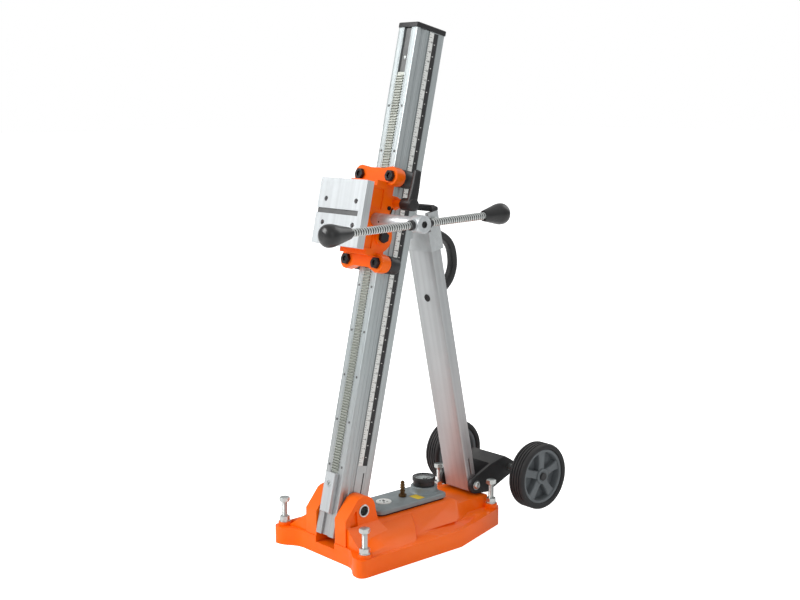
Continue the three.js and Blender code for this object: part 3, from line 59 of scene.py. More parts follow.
# ---- frames -------------------------------------------------------------------------------------
@dataclass(frozen=True)
class Placement:
    """A local frame: three unit axes as the rows of a matrix, and an origin in millimetres."""

    axes: tuple[Point, ...] = ((1, 0, 0), (0, 1, 0), (0, 0, 1))
    origin: Point = (0.0, 0.0, 0.0)

    def at(self, x: float, y: float, z: float) -> "Placement":
        """The same axes with another origin."""
        return replace(self, origin=(x, y, z))

    def apply(self, points: Array) -> Array:
        """Local points in the surrounding frame: the origin plus each coordinate times its axis."""
        return points @ np.array(self.axes, float) + np.array(self.origin, float)

    def after(self, outer: "Placement") -> "Placement":
        """This frame as seen from the frame that surrounds the outer one.

        Args:
            outer: the frame that surrounds this one.

        Returns:
            The placement in the outermost frame.
        """
        axes = np.array(self.axes, float) @ np.array(outer.axes, float)
        origin = outer.apply(np.array([self.origin], float))[0]
        return Placement(tuple(map(tuple, axes)), tuple(origin))


def tilted(angle: float, y: float, z: float, inner: tuple[float, float] = (0.0, 0.0)) -> Placement:
    """A frame turned about X.

    Args:
        angle: turn in degrees, from +Y towards +Z.
        y: where the turning point stands in the rig.
        z: its height in the rig.
        inner: the turning point in the turned frame, as (y, z).

    Returns:
        The frame's placement in the rig.
    """
    c, s = math.cos(math.radians(angle)), math.sin(math.radians(angle))
    oy = y - (inner[0] * c - inner[1] * s)
    oz = z - (inner[0] * s + inner[1] * c)
    return Placement(((1, 0, 0), (0, c, s), (0, -s, c)), (0.0, oy, oz))


ALONG_X = Placement(((0, 1, 0), (0, 0, 1), (1, 0, 0)))
ALONG_Y = Placement(((0, 0, 1), (1, 0, 0), (0, 1, 0)))
BACK_X = Placement(((0, 0, 1), (0, 1, 0), (-1, 0, 0)))
BACK_Y = Placement(((1, 0, 0), (0, 0, 1), (0, -1, 0)))

TILT = 12.68
STRUT_LEAN = 12.0
COLUMN = tilted(-TILT, 0.0, 105.0, (40.0, 67.0))
STRUT = tilted(STRUT_LEAN, 345.0, 84.0)
HANDLE_RISE = 1.7
CRANK = Placement(tilted(TILT + HANDLE_RISE, 0.0, 0.0).axes, (0.0, -39.785, 664.0)).after(COLUMN)


# ---- surfaces -----------------------------------------------------------------------------------
@dataclass(frozen=True)
class Surface:
    """Closed forms: their points, and arrays of faces with the same number of corners."""

    points: Array
    faces: tuple[Array, ...]

    def placed(self, place: Placement) -> "Surface":
        """The surface carried into a surrounding frame."""
        return Surface(place.apply(self.points), self.faces)

    def moved(self, x: float = 0.0, y: float = 0.0, z: float = 0.0) -> "Surface":
        """The surface shifted in its own frame."""
        return Surface(self.points + np.array([x, y, z], float), self.faces)


def round_angles(steps: int) -> Array:
    """Angles round a full turn: each step's number times a turn over the steps."""
    return np.arange(steps) * TURN / steps


def hexagon(corner: float, angle: Array) -> Array:
    """A hexagon's radius at each angle: the flat's distance over the cosine from the flat's middle."""
    return corner * math.cos(math.pi / 6) / np.cos((angle % SIXTH) - math.pi / 6)


def together(*parts: Surface) -> Surface:
    """Several surfaces as one: points are stacked and face numbers shifted by the points before.

    Args:
        parts: the surfaces.

    Returns:
        One surface that holds them all.
    """
    starts = np.cumsum([0] + [len(p.points) for p in parts[:-1]])
    faces = tuple(f + s for p, s in zip(parts, starts) for f in p.faces)
    return Surface(np.vstack([p.points for p in parts]), faces)


def grid_faces(rows: int, columns: int, wrap_rows: bool = False) -> Array:
    """Quads between the rows of a grid whose columns always close on themselves.

    Args:
        rows: number of rows of points.
        columns: points in a row.
        wrap_rows: whether the last row joins the first.

    Returns:
        An (n, 4) array: each quad joins a point, its neighbour in the row and the two above them.
    """
    i = np.arange(rows if wrap_rows else rows - 1)[:, None]
    j = np.arange(columns)[None, :]
    up = (i + 1) % rows
    right = (j + 1) % columns
    quads = [i * columns + j, i * columns + right, up * columns + right, up * columns + j]
    return np.stack([np.broadcast_to(q, (len(i), columns)) for q in quads], -1).reshape(-1, 4)


def carried(rings: Array, wrap: bool = False) -> Surface:
    """A profile carried along a path: closed rings of points, joined one to the next.

    Args:
        rings: (rows, columns, 3) points, each row a closed ring.
        wrap: whether the last ring joins the first; otherwise both ends get a flat face.

    Returns:
        The closed surface.
    """
    rows, columns = rings.shape[:2]
    faces = [grid_faces(rows, columns, wrap)]
    if not wrap:
        faces.append(np.arange(columns)[None, ::-1])
        faces.append(np.arange(columns)[None, :] + (rows - 1) * columns)
    return Surface(rings.reshape(-1, 3).astype(float), tuple(faces))


def turned(profile: list[tuple[float, float]], steps: int = 64, closed: bool = False) -> Surface:
    """A profile turned about Z: x = r cos a, y = r sin a, z = height, for a from 0 to a full turn.

    Args:
        profile: (radius, height) points; a radius of nothing at an end is closed by a small face.
        steps: points round the turn.
        closed: whether the profile is a closed outline, for a ring.

    Returns:
        The closed surface.
    """
    line = np.array(profile, float)
    line[:, 0] = np.maximum(line[:, 0], POLE)
    angle = round_angles(steps)
    x = line[:, :1] * np.cos(angle)
    y = line[:, :1] * np.sin(angle)
    z = np.broadcast_to(line[:, 1:], x.shape)
    return carried(np.stack([x, y, z], -1), closed)


def drawn(outline: Array, levels: list[float]) -> Surface:
    """A flat outline drawn straight up: the same (x, y) points at each height.

    Args:
        outline: (n, 2) points.
        levels: the heights.

    Returns:
        The closed surface.
    """
    flat = np.asarray(outline, float)
    rings = np.stack([np.column_stack([flat, np.full(len(flat), z)]) for z in levels])
    return carried(rings)


def lofted(outlines: list[Array], levels: list[float]) -> Surface:
    """Outlines of equal point counts at rising heights, joined ring to ring."""
    pairs = zip(outlines, levels)
    return carried(np.stack([np.column_stack([np.asarray(o, float), np.full(len(o), z)]) for o, z in pairs]))


def round_rect(half_x: float, half_y: float, radius: float, steps: int = 8) -> Array:
    """A rectangle with round corners: quarter circles centred a radius inside each corner.

    Args:
        half_x: half the size across.
        half_y: half the size the other way.
        radius: radius of the corners.
        steps: points on each corner.

    Returns:
        The outline's points, anticlockwise.
    """
    angle = np.arange(4)[:, None] * (math.pi / 2) + np.linspace(0, math.pi / 2, steps)[None, :]
    sx = np.array([1, -1, -1, 1])[:, None]
    sy = np.array([1, 1, -1, -1])[:, None]
    x = sx * (half_x - radius) + radius * np.cos(angle)
    y = sy * (half_y - radius) + radius * np.sin(angle)
    return np.stack([x, y], -1).reshape(-1, 2)


def arc_line(
    middle: tuple[float, float], radius: float, first: float, last: float, count: int
) -> Array:
    """Points on an arc: the middle plus the radius times the cosine and sine of angles in degrees."""
    angle = np.radians(np.linspace(first, last, count))
    return np.array(middle) + radius * np.column_stack([np.cos(angle), np.sin(angle)])


def boxes(centres: Array, halves: tuple[float, float, float]) -> Surface:
    """Equal boxes: eight corners round each centre, at plus or minus each half size.

    Args:
        centres: (n, 3) middles of the boxes.
        halves: half sizes along each axis.

    Returns:
        The closed boxes.
    """
    signs = np.array([[i, j, k] for k in (-1, 1) for i, j in ((-1, -1), (1, -1), (1, 1), (-1, 1))], float)
    corners = np.asarray(centres, float)[:, None, :] + signs[None] * np.array(halves)
    quads = np.array([[3, 2, 1, 0], [4, 5, 6, 7], [0, 1, 5, 4], [1, 2, 6, 5], [2, 3, 7, 6], [3, 0, 4, 7]])
    faces = quads[None] + 8 * np.arange(len(centres))[:, None, None]
    return Surface(corners.reshape(-1, 3), (faces.reshape(-1, 4),))


def hex_head(corner: float, height: float, chamfer_low: bool = False, socket: float = 0.0) -> Surface:
    """A six-sided head or nut about Z, its corners turned off at 30 degrees.

    The radius at an angle is the hexagon's, but never more than the chamfer cone's radius at
    that height. A socket goes down from the top as a smaller hexagon.

    Args:
        corner: radius over the corners.
        height: height of the head.
        chamfer_low: whether the lower corners are turned off too.
        socket: radius of the socket's corners, or nothing for none.

    Returns:
        The closed surface, standing on z = 0.
    """
    least = corner * math.cos(math.pi / 6) * 0.97
    angle = round_angles(HEX_STEPS)
    edge = hexagon(corner, angle)
    drop = (corner - least) * math.tan(math.pi / 6)
    rise = 1 - np.array([0.0, 0.35, 0.7, 1.0])
    heights, cones = [0.0], [corner]
    if chamfer_low:
        heights = list(drop * rise[::-1])
        cones = list(least + (corner - least) * rise[::-1])
    heights += list(height - drop * rise)
    cones += list(least + (corner - least) * rise)
    radii = [np.minimum(edge, c) for c in cones]
    if socket > 0.0:
        inner = hexagon(socket, angle)
        depth = height * 0.55
        radii += [np.full_like(angle, socket * 1.12), inner, inner]
        heights += [height, height - 0.12 * socket, height - depth]
    r = np.stack(radii)
    z = np.broadcast_to(np.array(heights)[:, None], r.shape)
    return carried(np.stack([r * np.cos(angle), r * np.sin(angle), z], -1))


def threaded(
    radius: float, start: float, end: float, pitch: float, depth: float, steps: int = 32
) -> Surface:
    """A screw thread about Z.

    The radius is the crest less the depth times a rounded saw: half of one plus the cosine of
    the angle that the height makes in its pitch, less the angle round the rod. The thread
    fades to the core over the first and last half pitch.

    Args:
        radius: radius of the crest.
        start: lower end.
        end: upper end.
        pitch: height of one turn.
        depth: depth of the groove.
        steps: points round the rod.

    Returns:
        The closed surface.
    """
    rows = int((end - start) / pitch * 10) + 1
    z = np.linspace(start, end, rows)[:, None]
    angle = round_angles(steps)[None, :]
    saw = 0.5 - 0.5 * np.cos(TURN * z / pitch - angle)
    fade = np.clip(np.minimum(z - start, end - z) / (0.5 * pitch), 0, 1)
    r = radius - depth * (1 - saw * fade)
    rings = np.stack([r * np.cos(angle), r * np.sin(angle), np.broadcast_to(z, r.shape)], -1)
    return carried(rings)


def swept(
    path: Array, across: Array, half_x: Array, half_n: Array, power: float, steps: int
) -> Surface:
    """A rounded section carried along a path in the (y, z) plane.

    The section is a superellipse: across times the signed power of the cosine, and normal to
    the path times the signed power of the sine, each to two over the power.

    Args:
        path: (n, 2) points as (y, z).
        across: (n,) offset of the section's middle in x.
        half_x: (n,) half sizes across.
        half_n: (n,) half sizes normal to the path.
        power: 2 is an ellipse, more is squarer.
        steps: points round the section.

    Returns:
        The closed surface.
    """
    along = np.gradient(path, axis=0)
    along /= np.linalg.norm(along, axis=1, keepdims=True)
    normal = np.column_stack([-along[:, 1], along[:, 0]])
    a = round_angles(steps)
    u = np.sign(np.cos(a)) * np.abs(np.cos(a)) ** (2 / power)
    v = np.sign(np.sin(a)) * np.abs(np.sin(a)) ** (2 / power)
    x = across[:, None] + half_x[:, None] * u
    y = path[:, :1] + half_n[:, None] * v * normal[:, :1]
    z = path[:, 1:] + half_n[:, None] * v * normal[:, 1:]
    return carried(np.stack([x, y, z], -1))


def smooth_line(points: list[tuple[float, float]], count: int) -> Array:
    """A smooth line through points: each coordinate is a cubic blend of its neighbours (Catmull-Rom).

    Args:
        points: the points it goes through.
        count: how many points.

    Returns:
        The points on the line.
    """
    p = np.array(points, float)
    p = np.vstack([2 * p[0] - p[1], p, 2 * p[-1] - p[-2]])
    t = np.linspace(0, len(p) - 3 - 1e-9, count)
    k = t.astype(int)
    f = (t - k)[:, None]
    a, b, c, d = p[k], p[k + 1], p[k + 2], p[k + 3]
    slope = (c - a) * f
    bend = (2 * a - 5 * b + 4 * c - d) * f**2
    twist = (3 * b - a - 3 * c + d) * f**3
    return 0.5 * (2 * b + slope + bend + twist)


# ---- pieces -------------------------------------------------------------------------------------
def mesh_of(name: str, surface: Surface) -> bpy.types.Mesh:
    """A mesh from a surface in millimetres, its faces turned to point outwards.

    The volume is the sum over triangles of the box product of their corners; a negative one
    says that the faces point inwards, and they are all flipped.

    Args:
        name: the mesh's name.
        surface: the surface.

    Returns:
        The mesh, in metres.
    """
    mesh = bpy.data.meshes.new(name)
    faces = [row for block in surface.faces for row in block.tolist()]
    mesh.from_pydata((surface.points * MM).tolist(), [], faces)
    mesh.update()
    mesh.calc_loop_triangles()
    corners = np.empty(len(mesh.loop_triangles) * 3, np.int32)
    mesh.loop_triangles.foreach_get("vertices", corners)
    a, b, c = surface.points[corners].reshape(-1, 3, 3).transpose(1, 0, 2)
    if np.einsum("ij,ij->", a, np.cross(b, c)) < 0:
        mesh.flip_normals()
    return mesh


def make_piece(
    name: str,
    surface: Surface,
    material: bpy.types.Material,
    body: str,
    stands_for: tuple[str, ...] = (),
    edge: float = 0.0,
) -> bpy.types.Object:
    """One finished piece that rides on a body.

    Args:
        name: the piece's name.
        surface: its surface in the rig's frame, in millimetres.
        material: its finish.
        body: the body that it rides on.
        stands_for: the solids that it replaces.
        edge: width of the rounded edges in millimetres, or nothing for none.

    Returns:
        The Blender object.
    """
    mesh = mesh_of(name, surface)
    mesh.materials.append(material)
    piece = bpy.data.objects.new(name, mesh)
    bpy.context.scene.collection.objects.link(piece)
    mesh.shade_smooth()
    if edge > 0.0:
        add_round_edges(piece, edge)
    else:
        mesh.set_sharp_from_angle(angle=math.radians(CREASE))
    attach(piece, body)
    if stands_for:
        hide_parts(*stands_for)
    LOG.info("piece %s: %d faces on %s", name, len(mesh.polygons), body)
    return piece


def add_round_edges(piece: bpy.types.Object, width: float) -> None:
    """Rounds the sharp edges of a piece or solid.

    Args:
        piece: the object whose edges are rounded.
        width: how far from the edge the rounding starts, in millimetres.
    """
    bevel = piece.modifiers.new("round_edges", "BEVEL")
    bevel.width = width * MM
    bevel.segments = 3
    bevel.limit_method = "ANGLE"
    bevel.angle_limit = math.radians(ROUNDED_FROM)
    bevel.harden_normals = True


def soft_shading() -> bpy.types.NodeTree:
    """A modifier tree that shades faces smoothly, except over edges sharper than the solid's crease.

    Returns:
        The shared tree.
    """
    name = "soft_shading"
    if name in bpy.data.node_groups:
        return bpy.data.node_groups[name]
    tree = bpy.data.node_groups.new(name, "GeometryNodeTree")
    tree.interface.new_socket("Geometry", in_out="INPUT", socket_type="NodeSocketGeometry")
    tree.interface.new_socket("Geometry", in_out="OUTPUT", socket_type="NodeSocketGeometry")
    start = tree.nodes.new("NodeGroupInput")
    end = tree.nodes.new("NodeGroupOutput")
    faces = tree.nodes.new("GeometryNodeSetShadeSmooth")
    edges = tree.nodes.new("GeometryNodeSetShadeSmooth")
    edges.domain = "EDGE"
    edges.inputs["Shade Smooth"].default_value = False
    angle = tree.nodes.new("GeometryNodeInputMeshEdgeAngle")
    sharp = tree.nodes.new("FunctionNodeCompare")
    sharp.operation = "GREATER_THAN"
    sharp.inputs[1].default_value = math.radians(SOLID_CREASE)
    tree.links.new(start.outputs[0], faces.inputs["Geometry"])
    tree.links.new(faces.outputs["Geometry"], edges.inputs["Geometry"])
    tree.links.new(angle.outputs["Unsigned Angle"], sharp.inputs[0])
    tree.links.new(sharp.outputs[0], edges.inputs["Selection"])
    tree.links.new(edges.outputs["Geometry"], end.inputs[0])
    return tree


def dress_solid(node: str, material: bpy.types.Material, edge: float = 0.0) -> None:
    """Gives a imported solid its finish: its triangles are welded, flat ones joined, edges rounded.

    Args:
        node: the solid's name.
        material: its finish.
        edge: width of the rounded edges in millimetres, or nothing for none.
    """
    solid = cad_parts[node]
    solid.data.materials.clear()
    solid.data.materials.append(material)
    weld = solid.modifiers.new("weld", "WELD")
    weld.merge_threshold = WELD_REACH
    flat = solid.modifiers.new("flat_faces", "DECIMATE")
    flat.decimate_type = "DISSOLVE"
    flat.angle_limit = math.radians(FLAT_WITHIN)
    soft = solid.modifiers.new("soft_shading", "NODES")
    soft.node_group = soft_shading()
    if edge > 0.0:
        add_round_edges(solid, edge)
    LOG.info("solid %s dressed with %s", node, material.name)


# ---- shader groups ------------------------------------------------------------------------------
def colour(red: int, green: int, blue: int) -> Colour:
    """A screen colour, 0 to 255 a channel, as linear light.

    Args:
        red: red, 0 to 255.
        green: green, 0 to 255.
        blue: blue, 0 to 255.

    Returns:
        The linear colour.
    """
    c = np.array([red, green, blue]) / 255.0
    linear = np.where(c <= 0.04045, c / 12.92, ((c + 0.055) / 1.055) ** 2.4)
    return (float(linear[0]), float(linear[1]), float(linear[2]), 1.0)


class Graph:
    """A node tree being built, with one short call for each kind of node the finishes use."""

    def __init__(self, tree: bpy.types.NodeTree) -> None:
        """Starts with an existing tree."""
        self.tree = tree

    def node(self, kind: str, **settings: object) -> bpy.types.Node:
        """A new node of a kind, with its own settings.

        Args:
            kind: the node's type.
            settings: its properties and their values.

        Returns:
            The node.
        """
        made = self.tree.nodes.new(kind)
        for name, value in settings.items():
            setattr(made, name, value)
        return made

    def feed(self, node: bpy.types.Node, name: str | int, value: object) -> None:
        """Sets an input socket: links it to another socket, or gives it a number or colour.

        Args:
            node: the node.
            name: the socket's name or number.
            value: a socket, a number or a colour.
        """
        socket = node.inputs[name]
        if isinstance(value, bpy.types.NodeSocket):
            self.tree.links.new(value, socket)
        else:
            socket.default_value = value

    def math(self, operation: str, a: object, b: object = 0.0) -> bpy.types.NodeSocket:
        """The result of one arithmetic operation.

        Args:
            operation: the operation.
            a: its first value.
            b: its second value.

        Returns:
            The result's socket.
        """
        made = self.node("ShaderNodeMath", operation=operation)
        self.feed(made, 0, a)
        self.feed(made, 1, b)
        return made.outputs[0]

    def noise(
        self, vector: object, scale: object, detail: float = 3.0, rough: float = 0.5
    ) -> bpy.types.NodeSocket:
        """Smooth noise from 0 to 1 over a vector.

        Args:
            vector: where the noise is read.
            scale: the noise's scale.
            detail: how many octaves.
            rough: how strong the finer octaves are.

        Returns:
            The noise's socket.
        """
        made = self.node("ShaderNodeTexNoise")
        self.feed(made, "Vector", vector)
        self.feed(made, "Scale", scale)
        self.feed(made, "Detail", detail)
        self.feed(made, "Roughness", rough)
        return made.outputs["Fac"]

    def ramp(
        self, value: object, low: float, high: float, to_low: float = 0.0, to_high: float = 1.0
    ) -> bpy.types.NodeSocket:
        """A value carried from one range to another, held at its ends.

        Args:
            value: the value.
            low: where the range starts.
            high: where it ends.
            to_low: the result at the start.
            to_high: the result at the end.

        Returns:
            The result's socket.
        """
        made = self.node("ShaderNodeMapRange")
        labels = ("Value", "From Min", "From Max", "To Min", "To Max")
        for label, number in zip(labels, (value, low, high, to_low, to_high)):
            self.feed(made, label, number)
        return made.outputs["Result"]

    def mix(self, share: object, first: object, second: object) -> bpy.types.NodeSocket:
        """A colour between two colours.

        Args:
            share: how much of the second colour.
            first: the first colour.
            second: the second colour.

        Returns:
            The colour's socket.
        """
        made = self.node("ShaderNodeMix", data_type="RGBA")
        self.feed(made, 0, share)
        self.feed(made, 6, first)
        self.feed(made, 7, second)
        return made.outputs[2]

    def place(self, turn: float = 0.0, scale: Point = (1, 1, 1)) -> bpy.types.NodeSocket:
        """Object coordinates turned about X and stretched, for patterns that run along a part.

        Args:
            turn: a turn about X in degrees.
            scale: the stretch along each axis.

        Returns:
            The coordinates' socket.
        """
        coords = self.node("ShaderNodeTexCoord")
        mapping = self.node("ShaderNodeMapping", vector_type="TEXTURE" if turn else "POINT")
        self.feed(mapping, "Vector", coords.outputs["Object"])
        if turn:
            mapping.inputs["Rotation"].default_value = (math.radians(turn), 0.0, 0.0)
            spread = self.node("ShaderNodeVectorMath", operation="MULTIPLY")
            self.feed(spread, 0, mapping.outputs[0])
            spread.inputs[1].default_value = scale
            return spread.outputs[0]
        mapping.inputs["Scale"].default_value = scale
        return mapping.outputs[0]

    def bump(self, height: object, strength: float, distance: float) -> bpy.types.NodeSocket:
        """A normal bent by a height in metres.

        Args:
            height: the height.
            strength: how much the normal bends.
            distance: the height of a full step, in metres.

        Returns:
            The normal's socket.
        """
        made = self.node("ShaderNodeBump")
        self.feed(made, "Strength", strength)
        self.feed(made, "Distance", distance)
        self.feed(made, "Height", height)
        return made.outputs["Normal"]

    def use(self, group: bpy.types.NodeTree, **inputs: object) -> bpy.types.Node:
        """A shared group placed in this tree, with its own values.

        Args:
            group: the group.
            inputs: its inputs by name.

        Returns:
            The group's node.
        """
        made = self.node("ShaderNodeGroup", node_tree=group)
        for name, value in inputs.items():
            self.feed(made, name, value)
        return made


def new_group(
    name: str, inputs: dict[str, str], outputs: dict[str, str]
) -> tuple[Graph, bpy.types.Node, bpy.types.Node]:
    """An empty shader group.

    Args:
        name: the group's name.
        inputs: names and kinds of its input sockets.
        outputs: names and kinds of its output sockets.

    Returns:
        The group's graph, its input node and its output node.
    """
    tree = bpy.data.node_groups.new(name, "ShaderNodeTree")
    for label, kind in inputs.items():
        tree.interface.new_socket(label, in_out="INPUT", socket_type="NodeSocket" + kind)
    for label, kind in outputs.items():
        tree.interface.new_socket(label, in_out="OUTPUT", socket_type="NodeSocket" + kind)
    graph = Graph(tree)
    return graph, graph.node("NodeGroupInput"), graph.node("NodeGroupOutput")


def edge_wear_group() -> bpy.types.NodeTree:
    """Mask of rubbed edges: how far an edge stands out, broken up by noise.

    Inputs: Vector, Scale of the break-up, Amount. Output: Mask from 0 to 1.

    Returns:
        The shared group.
    """
    if "edge_wear" in bpy.data.node_groups:
        return bpy.data.node_groups["edge_wear"]
    graph, start, end = new_group(
        "edge_wear", {"Vector": "Vector", "Scale": "Float", "Amount": "Float"}, {"Mask": "Float"}
    )
    point = graph.node("ShaderNodeNewGeometry").outputs["Pointiness"]
    edge = graph.ramp(point, 0.53, 0.62)
    broken = graph.ramp(graph.noise(start.outputs["Vector"], start.outputs["Scale"], 5.0), 0.4, 0.65)
    worn = graph.math("MULTIPLY", graph.math("MULTIPLY", edge, broken), start.outputs["Amount"])
    graph.feed(end, "Mask", worn)
    return graph.tree


def dust_group() -> bpy.types.NodeTree:
    """Mask of settled dust: how far a face looks up, times soft noise and fine specks.

    Inputs: Vector, Amount. Output: Mask from 0 to 1.

    Returns:
        The shared group.
    """
    if "dust" in bpy.data.node_groups:
        return bpy.data.node_groups["dust"]
    graph, start, end = new_group("dust", {"Vector": "Vector", "Amount": "Float"}, {"Mask": "Float"})
    normal = graph.node("ShaderNodeNewGeometry").outputs["Normal"]
    split = graph.node("ShaderNodeSeparateXYZ")
    graph.feed(split, 0, normal)
    up = graph.ramp(split.outputs["Z"], 0.3, 1.0)
    soft = graph.ramp(graph.noise(start.outputs["Vector"], 22.0, 4.0), 0.35, 0.75)
    speck = graph.ramp(graph.noise(start.outputs["Vector"], 900.0, 2.0), 0.6, 0.75, 0.0, 0.6)
    amount = graph.math("ADD", graph.math("MULTIPLY", soft, 0.6), speck)
    settled = graph.math("MULTIPLY", amount, up)
    graph.feed(end, "Mask", graph.math("MULTIPLY", settled, start.outputs["Amount"]))
    return graph.tree


def grain_group() -> bpy.types.NodeTree:
    """Grain at two sizes: broad clouds and fine grains, each noise carried to 0 to 1.

    Inputs: Vector, Broad and Fine scales. Outputs: Cloud, Grain.

    Returns:
        The shared group.
    """
    if "grain" in bpy.data.node_groups:
        return bpy.data.node_groups["grain"]
    graph, start, end = new_group(
        "grain", {"Vector": "Vector", "Broad": "Float", "Fine": "Float"}, {"Cloud": "Float", "Grain": "Float"}
    )
    cloud = graph.noise(start.outputs["Vector"], start.outputs["Broad"], 3.0)
    grain = graph.noise(start.outputs["Vector"], start.outputs["Fine"], 4.0, 0.6)
    graph.feed(end, "Cloud", graph.ramp(cloud, 0.3, 0.7))
    graph.feed(end, "Grain", graph.ramp(grain, 0.25, 0.75))
    return graph.tree


# ---- finishes -----------------------------------------------------------------------------------
class Run(Enum):
    """Which way the fine lines of a drawn or brushed part run, as a turn about X in degrees."""

    UPRIGHT = 0.0
    COLUMN = -TILT
    STRUT = STRUT_LEAN


@dataclass(frozen=True)
class Finish:
    """What every finish has: a name, a colour and a gloss."""

    name: str
    tone: Colour
    rough: float

    def shade(self, share: float, lift: float = 0.0, top: float = 0.95) -> tuple[float, ...]:
        """The finish's colour times a share, plus a lift, held below a top."""
        return tuple(np.minimum(np.array(self.tone[:3]) * share + lift, top)) + (1.0,)

    def start(self) -> tuple[Graph, bpy.types.Node]:
        """A new material's graph and its surface shader.

        Returns:
            The graph and the shader.
        """
        material = bpy.data.materials.new(self.name)
        material.use_nodes = True
        graph = Graph(material.node_tree)
        shader = material.node_tree.nodes["Principled BSDF"]
        return graph, shader

    def material(self) -> bpy.types.Material:
        """The finish as a material, built once.

        Returns:
            The material.
        """
        if self.name not in bpy.data.materials:
            self.build()
        return bpy.data.materials[self.name]

    def build(self) -> None:
        """Builds the material's nodes."""
        raise NotImplementedError


@dataclass(frozen=True)
class GlossPaint(Finish):
    """Thick glossy paint on a casting: orange peel, slow colour drift, dust and rubbed edges."""

    deep: Colour = (0.5, 0.03, 0.002, 1.0)
    coat: float = 0.5
    peel: float = 0.00035

    def build(self) -> None:
        """Colour drifts with noise and pales with dust and on edges; two sizes of peel bend the normal."""
        graph, shader = self.start()
        where = graph.place()
        grain = graph.use(grain_group(), Vector=where, Broad=9.0, Fine=260.0)
        wear = graph.use(edge_wear_group(), Vector=where, Scale=60.0, Amount=0.06)
        dust = graph.use(dust_group(), Vector=where, Amount=0.03)
        base = graph.mix(graph.math("MULTIPLY", grain.outputs["Cloud"], 0.35), self.tone, self.deep)
        base = graph.mix(wear.outputs["Mask"], base, colour(255, 140, 60))
        base = graph.mix(dust.outputs["Mask"], base, colour(240, 190, 160))
        graph.feed(shader, "Base Color", base)
        rough = graph.math("ADD", self.rough, graph.math("MULTIPLY", grain.outputs["Cloud"], 0.07))
        dull = graph.math("MULTIPLY", dust.outputs["Mask"], 0.5)
        graph.feed(shader, "Roughness", graph.math("ADD", rough, dull))
        shader.inputs["Specular IOR Level"].default_value = 0.18
        shader.inputs["Coat Weight"].default_value = self.coat
        shader.inputs["Coat Roughness"].default_value = 0.1
        peel = graph.noise(where, 420.0, 2.0)
        swell = graph.noise(where, 70.0, 2.0)
        height = graph.math("ADD", peel, graph.math("MULTIPLY", swell, 2.0))
        graph.feed(shader, "Normal", graph.bump(height, 0.35, self.peel))


@dataclass(frozen=True)
class DrawnMetal(Finish):
    """Extruded or turned metal: fine lines along one direction, handling marks, rubbed edges, and low down a
    painted pink reflection of the orange base.
    """

    metallic: float = 1.0
    run: Run = Run.UPRIGHT
    lines: float = 0.5
    # How strongly the low part is tinted with a painted pink reflection of the orange base.
    painted_orange_reflection: float = 0.0

    def build(self) -> None:
        """Noise stretched along the run gives the lines, in colour, roughness and height; the low part can be
        tinted with a painted reflection of the orange base.
        """
        graph, shader = self.start()
        where = graph.place()
        drawn_out = graph.place(self.run.value or 0.001, (1.0, 1.0, 0.012))
        line = graph.noise(drawn_out, 900.0, 3.0, 0.6)
        streak = graph.noise(drawn_out, 130.0, 2.0)
        grain = graph.use(grain_group(), Vector=where, Broad=14.0, Fine=700.0)
        wear = graph.use(edge_wear_group(), Vector=where, Scale=80.0, Amount=0.5)
        dark, pale = self.shade(0.86), self.shade(1.1)
        base = graph.mix(graph.ramp(streak, 0.35, 0.65), dark, self.tone)
        base = graph.mix(graph.math("MULTIPLY", graph.ramp(line, 0.3, 0.7), self.lines), base, pale)
        base = graph.mix(graph.math("MULTIPLY", grain.outputs["Cloud"], 0.15), base, dark)
        # Painted reflection: towards the bottom the metal is tinted pink, as if it mirrored the orange base.
        if self.painted_orange_reflection > 0.0:
            coords = graph.node("ShaderNodeTexCoord").outputs["Object"]
            split = graph.node("ShaderNodeSeparateXYZ")
            graph.feed(split, 0, coords)
            low = graph.ramp(split.outputs["Z"], 0.05, 0.42, self.painted_orange_reflection, 0.0)
            base = graph.mix(low, base, colour(206, 150, 140))
        base = graph.mix(wear.outputs["Mask"], base, pale)
        graph.feed(shader, "Base Color", base)
        shader.inputs["Metallic"].default_value = self.metallic
        spread = graph.math("MULTIPLY", graph.ramp(line, 0.3, 0.7, -1.0, 1.0), 0.08)
        smear = graph.math("MULTIPLY", grain.outputs["Cloud"], 0.08)
        uneven = graph.math("ADD", spread, smear)
        graph.feed(shader, "Roughness", graph.math("ADD", uneven, self.rough))
        graph.feed(shader, "Normal", graph.bump(line, 0.25 * self.lines, 0.0001))


@dataclass(frozen=True)
class CastMetal(Finish):
    """Cast, blasted or zinc-plated metal: a fine even grain with clouded plating."""

    metallic: float = 0.9
    fine: float = 900.0
    relief: float = 0.0002

    def build(self) -> None:
        """Grain in colour, roughness and height, with clouds over it and pale rubbed edges."""
        graph, shader = self.start()
        where = graph.place()
        grain = graph.use(grain_group(), Vector=where, Broad=35.0, Fine=self.fine)
        wear = graph.use(edge_wear_group(), Vector=where, Scale=120.0, Amount=0.6)
        dark, pale = self.shade(0.72), self.shade(1.25)
        base = graph.mix(graph.math("MULTIPLY", grain.outputs["Cloud"], 0.45), self.tone, dark)
        base = graph.mix(graph.math("MULTIPLY", grain.outputs["Grain"], 0.2), base, pale)
        base = graph.mix(wear.outputs["Mask"], base, pale)
        graph.feed(shader, "Base Color", base)
        shader.inputs["Metallic"].default_value = self.metallic
        clouded = graph.math("MULTIPLY", grain.outputs["Cloud"], 0.14)
        graph.feed(shader, "Roughness", graph.math("ADD", self.rough, clouded))
        graph.feed(shader, "Normal", graph.bump(grain.outputs["Grain"], 0.3, self.relief))


